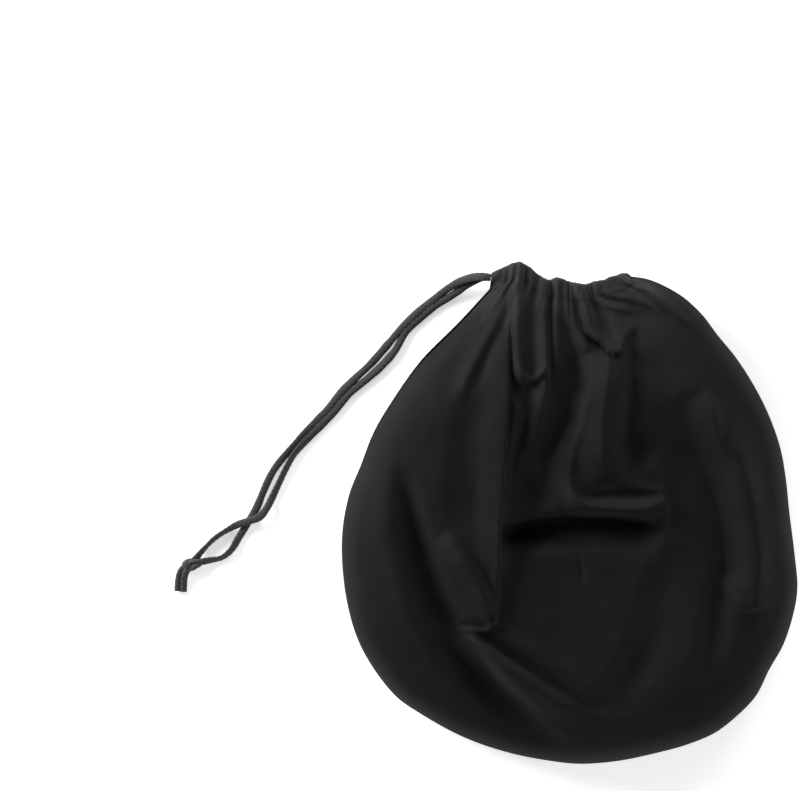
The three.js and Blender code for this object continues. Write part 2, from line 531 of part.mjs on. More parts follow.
// A flat cord along a path: its section is an oval that lies level where the path does.
function flatCord(path, width, steps) {
  const section = new THREE.Shape();
  for (let i = 0; i < SECTION_SIDES; i += 1) {
    const turn = (2 * Math.PI * (i + 0.5)) / SECTION_SIDES;
    const point = [(CORD_THICK / 2) * Math.cos(turn), (width / 2) * Math.sin(turn)];
    if (i === 0) section.moveTo(...point);
    else section.lineTo(...point);
  }
  section.closePath();
  const curve = new THREE.CatmullRomCurve3(path.map((point) => new THREE.Vector3(...point)), false, 'centripetal');
  return new THREE.ExtrudeGeometry(section, { steps, bevelEnabled: false, extrudePath: curve });
}

// The knot: a lumpy round form that lies on the surface.
function endKnot() {
  const geometry = new THREE.SphereGeometry(0.5, KNOT_SIDES, KNOT_ROWS);
  geometry.rotateX(Math.PI / 2);
  geometry.scale(KNOT_LENGTH, KNOT_WIDTH, KNOT_THICK);
  return geometry;
}

function named(name, geometry, finish) {
  const mesh = new THREE.Mesh(geometry, new THREE.MeshStandardMaterial(finish));
  mesh.name = name;
  return mesh;
}

const bag = new THREE.Group();
bag.add(named('front_panel', clothPanel(frontPoint, FRONT_COLUMNS, FRONT_ROWS, 1), clothBlack));
bag.add(named('back_panel', clothPanel(backPoint, BACK_COLUMNS, BACK_ROWS, -1), clothBlack));
bag.add(named('hem_channel', hemChannel(), clothBlack));
bag.add(named('drawstring_loop', drawstringLoop(), cordGrey));
bag.add(named('strand_left', flatCord(STRAND_UPPER, CORD_WIDTH, STRAND_STEPS), cordGrey));
bag.add(named('strand_right', flatCord(STRAND_LOWER, CORD_WIDTH, STRAND_STEPS), cordGrey));
const knot = named('end_knot', endKnot(), cordGrey);
knot.position.set(...KNOT_PLACE, KNOT_THICK / 2);
knot.rotation.z = THREE.MathUtils.degToRad(KNOT_TURN);
bag.add(knot);
for (const { name, path } of TAILS) bag.add(named(name, flatCord(path, TAIL_WIDTH, TAIL_STEPS), cordGrey));

export default bag;
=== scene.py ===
"""A soft black drawstring bag that lies on its back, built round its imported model.

Lengths of the cloth and the cord are millimetres, as on the pattern of a bag. Meshes, finishes and the
studio are in metres.
"""

import logging
import math
from dataclasses import dataclass, field
from enum import Enum
from typing import Sequence

import bpy
import numpy as np
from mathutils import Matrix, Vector


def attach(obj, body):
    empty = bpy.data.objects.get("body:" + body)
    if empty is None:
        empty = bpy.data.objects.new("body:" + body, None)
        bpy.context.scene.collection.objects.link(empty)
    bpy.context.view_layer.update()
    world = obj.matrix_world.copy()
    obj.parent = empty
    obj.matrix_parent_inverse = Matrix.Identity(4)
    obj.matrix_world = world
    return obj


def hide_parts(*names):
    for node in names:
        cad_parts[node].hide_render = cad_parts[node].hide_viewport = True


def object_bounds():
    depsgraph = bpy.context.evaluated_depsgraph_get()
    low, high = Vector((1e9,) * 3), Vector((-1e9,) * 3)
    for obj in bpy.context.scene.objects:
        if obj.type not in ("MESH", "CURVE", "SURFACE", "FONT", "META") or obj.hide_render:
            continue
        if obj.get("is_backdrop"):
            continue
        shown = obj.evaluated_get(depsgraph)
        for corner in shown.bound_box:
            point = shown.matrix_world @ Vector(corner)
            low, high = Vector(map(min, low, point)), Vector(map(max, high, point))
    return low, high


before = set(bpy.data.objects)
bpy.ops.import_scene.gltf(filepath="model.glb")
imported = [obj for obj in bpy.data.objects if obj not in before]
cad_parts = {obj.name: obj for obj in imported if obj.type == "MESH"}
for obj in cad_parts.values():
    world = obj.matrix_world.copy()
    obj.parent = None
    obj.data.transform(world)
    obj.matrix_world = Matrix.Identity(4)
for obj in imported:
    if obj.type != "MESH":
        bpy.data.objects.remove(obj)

log = logging.getLogger("bag")
MM = 0.001
ROOT = "root"

Point = tuple[float, float]
Path = list[tuple[float, float, float]]
Quad = tuple[int, int, int, int]


class Slot(Enum):
    """The record's material slots."""

    CLOTH = "bag_cloth"
    CORD = "braided_cord"


class Side(Enum):
    """The two panels of the bag, with the way that each one's outer face looks."""

    FRONT = 1
    BACK = -1


# Plain curve and field helpers


def ease(value: np.ndarray) -> np.ndarray:
    """A smooth step from 0 to 1."""
    held = np.clip(value, 0.0, 1.0)
    return held * held * (3.0 - 2.0 * held)


def smooth_line(points: Sequence[Sequence[float]], steps: int = 12) -> np.ndarray:
    """A smooth line through points, by centripetal Catmull-Rom.

    Args:
        points: the points that it passes through.
        steps: how many parts each stretch between two points gets.

    Returns:
        The line's points, one row each.
    """
    rows = np.asarray(points, dtype=float)
    ends = np.vstack([2 * rows[0] - rows[1], rows, 2 * rows[-1] - rows[-2]])
    spans = np.maximum(np.linalg.norm(np.diff(ends, axis=0), axis=1) ** 0.5, 1e-6)
    line = []
    for i in range(1, len(ends) - 2):
        before, here, after = spans[i - 1], spans[i], spans[i + 1]
        leave = ((ends[i] - ends[i - 1]) / before - (ends[i + 1] - ends[i - 1]) / (before + here)) * here
        leave += ends[i + 1] - ends[i]
        reach = ((ends[i + 2] - ends[i + 1]) / after - (ends[i + 2] - ends[i]) / (here + after)) * here
        reach += ends[i + 1] - ends[i]
        for share in np.linspace(0.0, 1.0, steps, endpoint=False):
            square, cube = share**2, share**3
            line.append(
                (2 * cube - 3 * square + 1) * ends[i]
                + (cube - 2 * square + share) * leave
                + (3 * square - 2 * cube) * ends[i + 1]
                + (cube - square) * reach
            )
    line.append(rows[-1])
    return np.array(line)


def lengths_along(line: np.ndarray) -> np.ndarray:
    """The length of the way from a line's start to each of its points."""
    return np.concatenate([[0.0], np.cumsum(np.linalg.norm(np.diff(line, axis=0), axis=1))])


def along(line: np.ndarray, shares: np.ndarray) -> np.ndarray:
    """The points at shares of a line's length.

    Args:
        line: the line's points.
        shares: from 0 at its start to 1 at its end.

    Returns:
        One point for each share, in a last axis.
    """
    way = lengths_along(line)
    return np.stack([np.interp(shares * way[-1], way, line[:, k]) for k in range(line.shape[1])], axis=-1)


def near_line(line: np.ndarray, x: np.ndarray, y: np.ndarray) -> tuple[np.ndarray, np.ndarray, np.ndarray]:
    """How places lie to a line in plan.

    Args:
        line: the line's points, with a third column for a value that it carries.
        x: the places' x.
        y: the places' y.

    Returns:
        The distance, the side (1 on the right hand of someone who walks the line, else -1), and
        the carried value there.
    """
    distance = np.full(x.shape, 1e9)
    side = np.ones(x.shape)
    carried = np.zeros(x.shape)
    for first, second in zip(line[:-1], line[1:]):
        step = second[:2] - first[:2]
        size = max(float(step @ step), 1e-9)
        from_x, from_y = x - first[0], y - first[1]
        share = np.clip((from_x * step[0] + from_y * step[1]) / size, 0.0, 1.0)
        here = np.hypot(from_x - share * step[0], from_y - share * step[1])
        closer = here < distance
        distance = np.where(closer, here, distance)
        side = np.where(closer, np.where(step[0] * from_y - step[1] * from_x < 0, 1.0, -1.0), side)
        carried = np.where(closer, first[2] + (second[2] - first[2]) * share, carried)
    return distance, side, carried


def soft_noise(x: np.ndarray, y: np.ndarray, cell: float, seed: int) -> np.ndarray:
    """Smooth uneven heights from -1 to 1, the same in each run.

    Args:
        x: places, in the same unit as cell.
        y: places.
        cell: the size of one swelling.
        seed: chooses the pattern.

    Returns:
        A height for each place.
    """
    cells = 64
    grid = np.random.RandomState(seed).uniform(-1.0, 1.0, (cells, cells))
    gx, gy = x / cell, y / cell
    ix, iy = np.floor(gx).astype(int), np.floor(gy).astype(int)
    fx, fy = ease(gx - ix), ease(gy - iy)
    corner = lambda dx, dy: grid[(ix + dx) % cells, (iy + dy) % cells]
    low = corner(0, 0) * (1 - fx) + corner(1, 0) * fx
    high = corner(0, 1) * (1 - fx) + corner(1, 1) * fx
    return low * (1 - fy) + high * fy


# Mesh helpers


def make_piece(
    name: str,
    points: np.ndarray,
    faces: Sequence[Sequence[int]],
    material: bpy.types.Material,
    uv: np.ndarray | None = None,
    smooth: bool = True,
) -> bpy.types.Object:
    """A mesh object of a piece, at the origin, with its place in its mesh.

    Args:
        name: the piece's name.
        points: its points in millimetres, one row each.
        faces: the point numbers of each face.
        material: its finish.
        uv: a place on the cloth or cord for each point, in metres.
        smooth: whether its faces are shaded as one soft surface.

    Returns:
        The new object, linked to the scene.
    """
    mesh = bpy.data.meshes.new(name)
    mesh.from_pydata((np.asarray(points) * MM).tolist(), [], [list(face) for face in faces])
    if uv is not None:
        layer = mesh.uv_layers.new(name="surface")
        order = np.empty(len(mesh.loops), dtype=np.int32)
        mesh.loops.foreach_get("vertex_index", order)
        layer.data.foreach_set("uv", np.asarray(uv)[order].astype(np.float32).ravel())
    mesh.materials.append(material)
    mesh.update()
    mesh.validate()
    if smooth:
        mesh.shade_smooth()
    piece = bpy.data.objects.new(name, mesh)
    bpy.context.scene.collection.objects.link(piece)
    turn_outwards(mesh)
    return piece


def turn_outwards(mesh: bpy.types.Mesh) -> None:
    """Turns a closed mesh's faces outwards, by the sign of its volume."""
    mesh.calc_loop_triangles()
    points = np.empty(len(mesh.vertices) * 3)
    mesh.vertices.foreach_get("co", points)
    points = points.reshape(-1, 3)
    corners = np.empty(len(mesh.loop_triangles) * 3, dtype=np.int32)
    mesh.loop_triangles.foreach_get("vertices", corners)
    a, b, c = (points[corners.reshape(-1, 3)[:, k]] for k in range(3))
    if float(np.einsum("ij,ij->i", a, np.cross(b, c)).sum()) < 0:
        mesh.flip_normals()


def grid_faces(rows: int, columns: int, start: int = 0, wrap: bool = False) -> list[Quad]:
    """Faces between rows of points.

    Args:
        rows: how many rows of points.
        columns: how many points in a row.
        start: the number of the first point.
        wrap: whether a row closes into a ring.

    Returns:
        The quads, with one way round.
    """
    faces = []
    for j in range(rows - 1):
        for i in range(columns if wrap else columns - 1):
            a = start + j * columns + i
            b = start + j * columns + (i + 1) % columns
            faces.append((a, b, b + columns, a + columns))
    return faces


# Finishes


class NodeBench:
    """A material's node tree, with short calls to add and join its nodes."""

    def __init__(self, name: str) -> None:
        """Starts an empty material.

        Args:
            name: the material's name.
        """
        self.material = bpy.data.materials.new(name)
        self.material.use_nodes = True
        self.tree = self.material.node_tree
        self.tree.nodes.clear()
        self.output = self.add("ShaderNodeOutputMaterial")

    def add(self, kind: str, values: dict[str, object] | None = None, **settings: object) -> bpy.types.Node:
        """Adds a node.

        Args:
            kind: the node's Blender type.
            values: values for its inputs, by name.
            settings: its own properties.

        Returns:
            The node.
        """
        node = self.tree.nodes.new(kind)
        for key, value in settings.items():
            setattr(node, key, value)
        for key, value in (values or {}).items():
            node.inputs[key].default_value = value
        return node

    def join(self, source: bpy.types.NodeSocket, target: bpy.types.NodeSocket) -> None:
        """Joins an output to an input."""
        self.tree.links.new(source, target)

    def math(self, operation: str, first: object, second: object) -> bpy.types.NodeSocket:
        """Adds a Math node on sockets or numbers, and returns its output."""
        node = self.add("ShaderNodeMath", operation=operation)
        for place, value in enumerate((first, second)):
            if isinstance(value, bpy.types.NodeSocket):
                self.join(value, node.inputs[place])
            else:
                node.inputs[place].default_value = value
        return node.outputs[0]


@dataclass(frozen=True)
class WovenCloth:
    """Matte black close-woven cloth with a faint sheen."""

    dark: tuple[float, float, float, float] = (0.0055, 0.0055, 0.0056, 1.0)
    light: tuple[float, float, float, float] = (0.0085, 0.0085, 0.0087, 1.0)
    roughness: float = 0.78
    sheen: float = 0.048
    sheen_roughness: float = 0.35
    # Painted light: a lighter colour near the mouth stands in for the brighter light that falls on the cloth
    # there
    mouth_painted_light: tuple[float, float, float, float] = (0.0270, 0.0270, 0.0276, 1.0)
    painted_light_reach: float = 0.085
    thread_pitch: float = 0.0006
    cloud_scale: float = 14.0
    fibre_scale: float = 700.0
    wrinkle_scale: float = 46.0
    wrinkle_depth: float = 0.0008
    thread_depth: float = 0.00012
    relief: float = 0.35
    speckle_share: float = 0.35
    dark_until: float = 0.34
    light_from: float = 0.68
    painted_light_gain: float = 0.5
    gloss: float = 0.09

    def build(self, name: str) -> bpy.types.Material:
        """Makes the material.

        Args:
            name: its name.

        Returns:
            The material, with its weave, fibres and soft unevenness in nodes, and painted light that makes
            the cloth lighter near the mouth.
        """
        bench = NodeBench(name)
        surface = bench.add("ShaderNodeUVMap", uv_map="surface")
        place = bench.add("ShaderNodeTexCoord")
        clouds = bench.add("ShaderNodeTexNoise", {"Scale": self.cloud_scale, "Detail": 6.0, "Roughness": 0.6})
        bench.join(place.outputs["Object"], clouds.inputs["Vector"])
        fibres = bench.add("ShaderNodeTexNoise", {"Scale": self.fibre_scale, "Detail": 2.0})
        bench.join(place.outputs["Object"], fibres.inputs["Vector"])
        speckle = bench.add("ShaderNodeMix", {"Factor": self.speckle_share}, data_type="FLOAT")
        bench.join(clouds.outputs["Fac"], speckle.inputs["A"])
        bench.join(fibres.outputs["Fac"], speckle.inputs["B"])
        tone = bench.add("ShaderNodeValToRGB")
        tone.color_ramp.elements[0].position = self.dark_until
        tone.color_ramp.elements[0].color = self.dark
        tone.color_ramp.elements[1].position = self.light_from
        tone.color_ramp.elements[1].color = self.light
        # Painted light: the cloth is lighter at the mouth and fades to its plain tone further down, in place
        # of the light that falls there
        painted_light_stop = tone.color_ramp.elements.new(1.0)
        painted_light_stop.color = self.mouth_painted_light
        split = bench.add("ShaderNodeSeparateXYZ")
        bench.join(surface.outputs["UV"], split.inputs["Vector"])
        mouth = bench.add(
            "ShaderNodeMapRange", {"From Max": self.painted_light_reach, "To Min": self.painted_light_gain, "To Max": 0.0}
        )
        bench.join(split.outputs["Y"], mouth.inputs["Value"])
        lighter = bench.add("ShaderNodeMath", operation="ADD")
        bench.join(speckle.outputs["Result"], lighter.inputs[0])
        bench.join(mouth.outputs["Result"], lighter.inputs[1])
        bench.join(lighter.outputs["Value"], tone.inputs["Fac"])
        weave = self.weave(bench, surface.outputs["UV"])
        wrinkles = bench.add(
            "ShaderNodeTexNoise", {"Scale": self.wrinkle_scale, "Detail": 4.0, "Roughness": 0.55}
        )
        bench.join(place.outputs["Object"], wrinkles.inputs["Vector"])
        creased = bench.add("ShaderNodeBump", {"Strength": self.relief, "Distance": self.wrinkle_depth})
        bench.join(wrinkles.outputs["Fac"], creased.inputs["Height"])
        bump = bench.add("ShaderNodeBump", {"Strength": self.relief, "Distance": self.thread_depth})
        bench.join(weave, bump.inputs["Height"])
        bench.join(creased.outputs["Normal"], bump.inputs["Normal"])
        shader = bench.add(
            "ShaderNodeBsdfPrincipled",
            {
                "Roughness": self.roughness,
                "Sheen Weight": self.sheen,
                "Sheen Roughness": self.sheen_roughness,
                "Specular IOR Level": self.gloss,
            },
        )
        bench.join(tone.outputs["Color"], shader.inputs["Base Color"])
        bench.join(bump.outputs["Normal"], shader.inputs["Normal"])
        bench.join(shader.outputs["BSDF"], bench.output.inputs["Surface"])
        return bench.material

    def weave(self, bench: NodeBench, place: bpy.types.NodeSocket) -> bpy.types.NodeSocket:
        """Adds the warp and weft.

        Args:
            bench: the material's nodes.
            place: the place on the cloth, in metres.

        Returns:
            The height of the threads.
        """
        scale = 1.0 / self.thread_pitch
        threads = []
        for direction in ("X", "Y"):
            wave = bench.add(
                "ShaderNodeTexWave",
                {"Scale": scale / 20.0 * math.pi, "Distortion": 0.4, "Detail": 1.0},
                wave_type="BANDS",
                bands_direction=direction,
            )
            bench.join(place, wave.inputs["Vector"])
            threads.append(wave.outputs["Fac"])
        return bench.math("MAXIMUM", threads[0], threads[1])


@dataclass(frozen=True)
class BraidedCord:
    """Soft flat braid, dark grey, with painted light on its raised yarns and painted shade between them."""

    dark: tuple[float, float, float, float] = (0.022, 0.022, 0.0225, 1.0)
    light: tuple[float, float, float, float] = (0.044, 0.044, 0.045, 1.0)
    roughness: float = 0.8
    sheen: float = 0.15
    sheen_roughness: float = 0.5
    fibre_scale: float = 1400.0
    fibre_depth: float = 0.0002
    relief: float = 0.5
    fibre_share: float = 0.4
    dark_until: float = 0.15
    light_from: float = 0.75
    gloss: float = 0.25

    def build(self, name: str) -> bpy.types.Material:
        """Makes the material.

        Args:
            name: its name.

        Returns:
            The material, with painted light on the raised yarns and painted shade in the grooves between
            them, from the height of the yarns that the piece carries.
        """
        bench = NodeBench(name)
        place = bench.add("ShaderNodeTexCoord")
        # Painted light and shade: the yarn height makes the raised yarns lighter and the grooves between them
        # darker
        yarns = bench.add("ShaderNodeAttribute", attribute_name="yarn", attribute_type="GEOMETRY")
        fibres = bench.add("ShaderNodeTexNoise", {"Scale": self.fibre_scale, "Detail": 3.0, "Roughness": 0.7})
        bench.join(place.outputs["Object"], fibres.inputs["Vector"])
        mixed = bench.add("ShaderNodeMix", {"Factor": self.fibre_share}, data_type="FLOAT")
        bench.join(yarns.outputs["Fac"], mixed.inputs["A"])
        bench.join(fibres.outputs["Fac"], mixed.inputs["B"])
        tone = bench.add("ShaderNodeValToRGB")
        tone.color_ramp.elements[0].position = self.dark_until
        tone.color_ramp.elements[0].color = self.dark
        tone.color_ramp.elements[1].position = self.light_from
        tone.color_ramp.elements[1].color = self.light
        bench.join(mixed.outputs["Result"], tone.inputs["Fac"])
        bump = bench.add("ShaderNodeBump", {"Strength": self.relief, "Distance": self.fibre_depth})
        bench.join(fibres.outputs["Fac"], bump.inputs["Height"])
        shader = bench.add(
            "ShaderNodeBsdfPrincipled",
            {
                "Roughness": self.roughness,
                "Sheen Weight": self.sheen,
                "Sheen Roughness": self.sheen_roughness,
                "Specular IOR Level": self.gloss,
            },
        )
        bench.join(tone.outputs["Color"], shader.inputs["Base Color"])
        bench.join(bump.outputs["Normal"], shader.inputs["Normal"])
        bench.join(shader.outputs["BSDF"], bench.output.inputs["Surface"])
        return bench.material


@dataclass(frozen=True)
class SewingThread:
    """Matte black polyester thread, about as dark as the cloth."""

    colour: tuple[float, float, float, float] = (0.0060, 0.0060, 0.0062, 1.0)
    roughness: float = 0.55
    twist_scale: float = 2600.0
    twist_depth: float = 0.0001
    relief: float = 0.4

    def build(self, name: str) -> bpy.types.Material:
        """Makes the material, with fine twist marks, under the given name."""
        bench = NodeBench(name)
        place = bench.add("ShaderNodeTexCoord")
        twist = bench.add("ShaderNodeTexNoise", {"Scale": self.twist_scale, "Detail": 1.0})
        bench.join(place.outputs["Object"], twist.inputs["Vector"])
        bump = bench.add("ShaderNodeBump", {"Strength": self.relief, "Distance": self.twist_depth})
        bench.join(twist.outputs["Fac"], bump.inputs["Height"])
        shader = bench.add(
            "ShaderNodeBsdfPrincipled", {"Base Color": self.colour, "Roughness": self.roughness}
        )
        bench.join(bump.outputs["Normal"], shader.inputs["Normal"])
        bench.join(shader.outputs["BSDF"], bench.output.inputs["Surface"])
        return bench.material


@dataclass(frozen=True)
class PaleFloor:
    """A plain, almost white studio floor."""

    colour: tuple[float, float, float, float] = (0.90, 0.90, 0.90, 1.0)
    roughness: float = 0.9
    glow: float = 0.55

    def build(self, name: str) -> bpy.types.Material:
        """Makes the floor's material under the given name."""
        bench = NodeBench(name)
        shader = bench.add(
            "ShaderNodeBsdfPrincipled",
            {
                "Base Color": self.colour,
                "Roughness": self.roughness,
                "Emission Color": self.colour,
                "Emission Strength": self.glow,
            },
        )
        bench.join(shader.outputs["BSDF"], bench.output.inputs["Surface"])
        return bench.material


# The shape that both panels share


@dataclass
class Fold:
    """One fold of the front panel.

    Attributes:
        name: what it is.
        rise: its height as a share of the panel's rise, below zero for a valley.
        left: its width on the left hand of someone who walks the path.
        right: its width on the right hand.
        sharp: from 0, a soft roll, to 1, a pressed edge.
        path: rows of x, y and the share of the rise that it has there.
        under_crease: whether the cloth left of the long crease covers it.
    """

    name: str
    rise: float
    left: float
    right: float
    sharp: float
    path: Path
    under_crease: bool = False


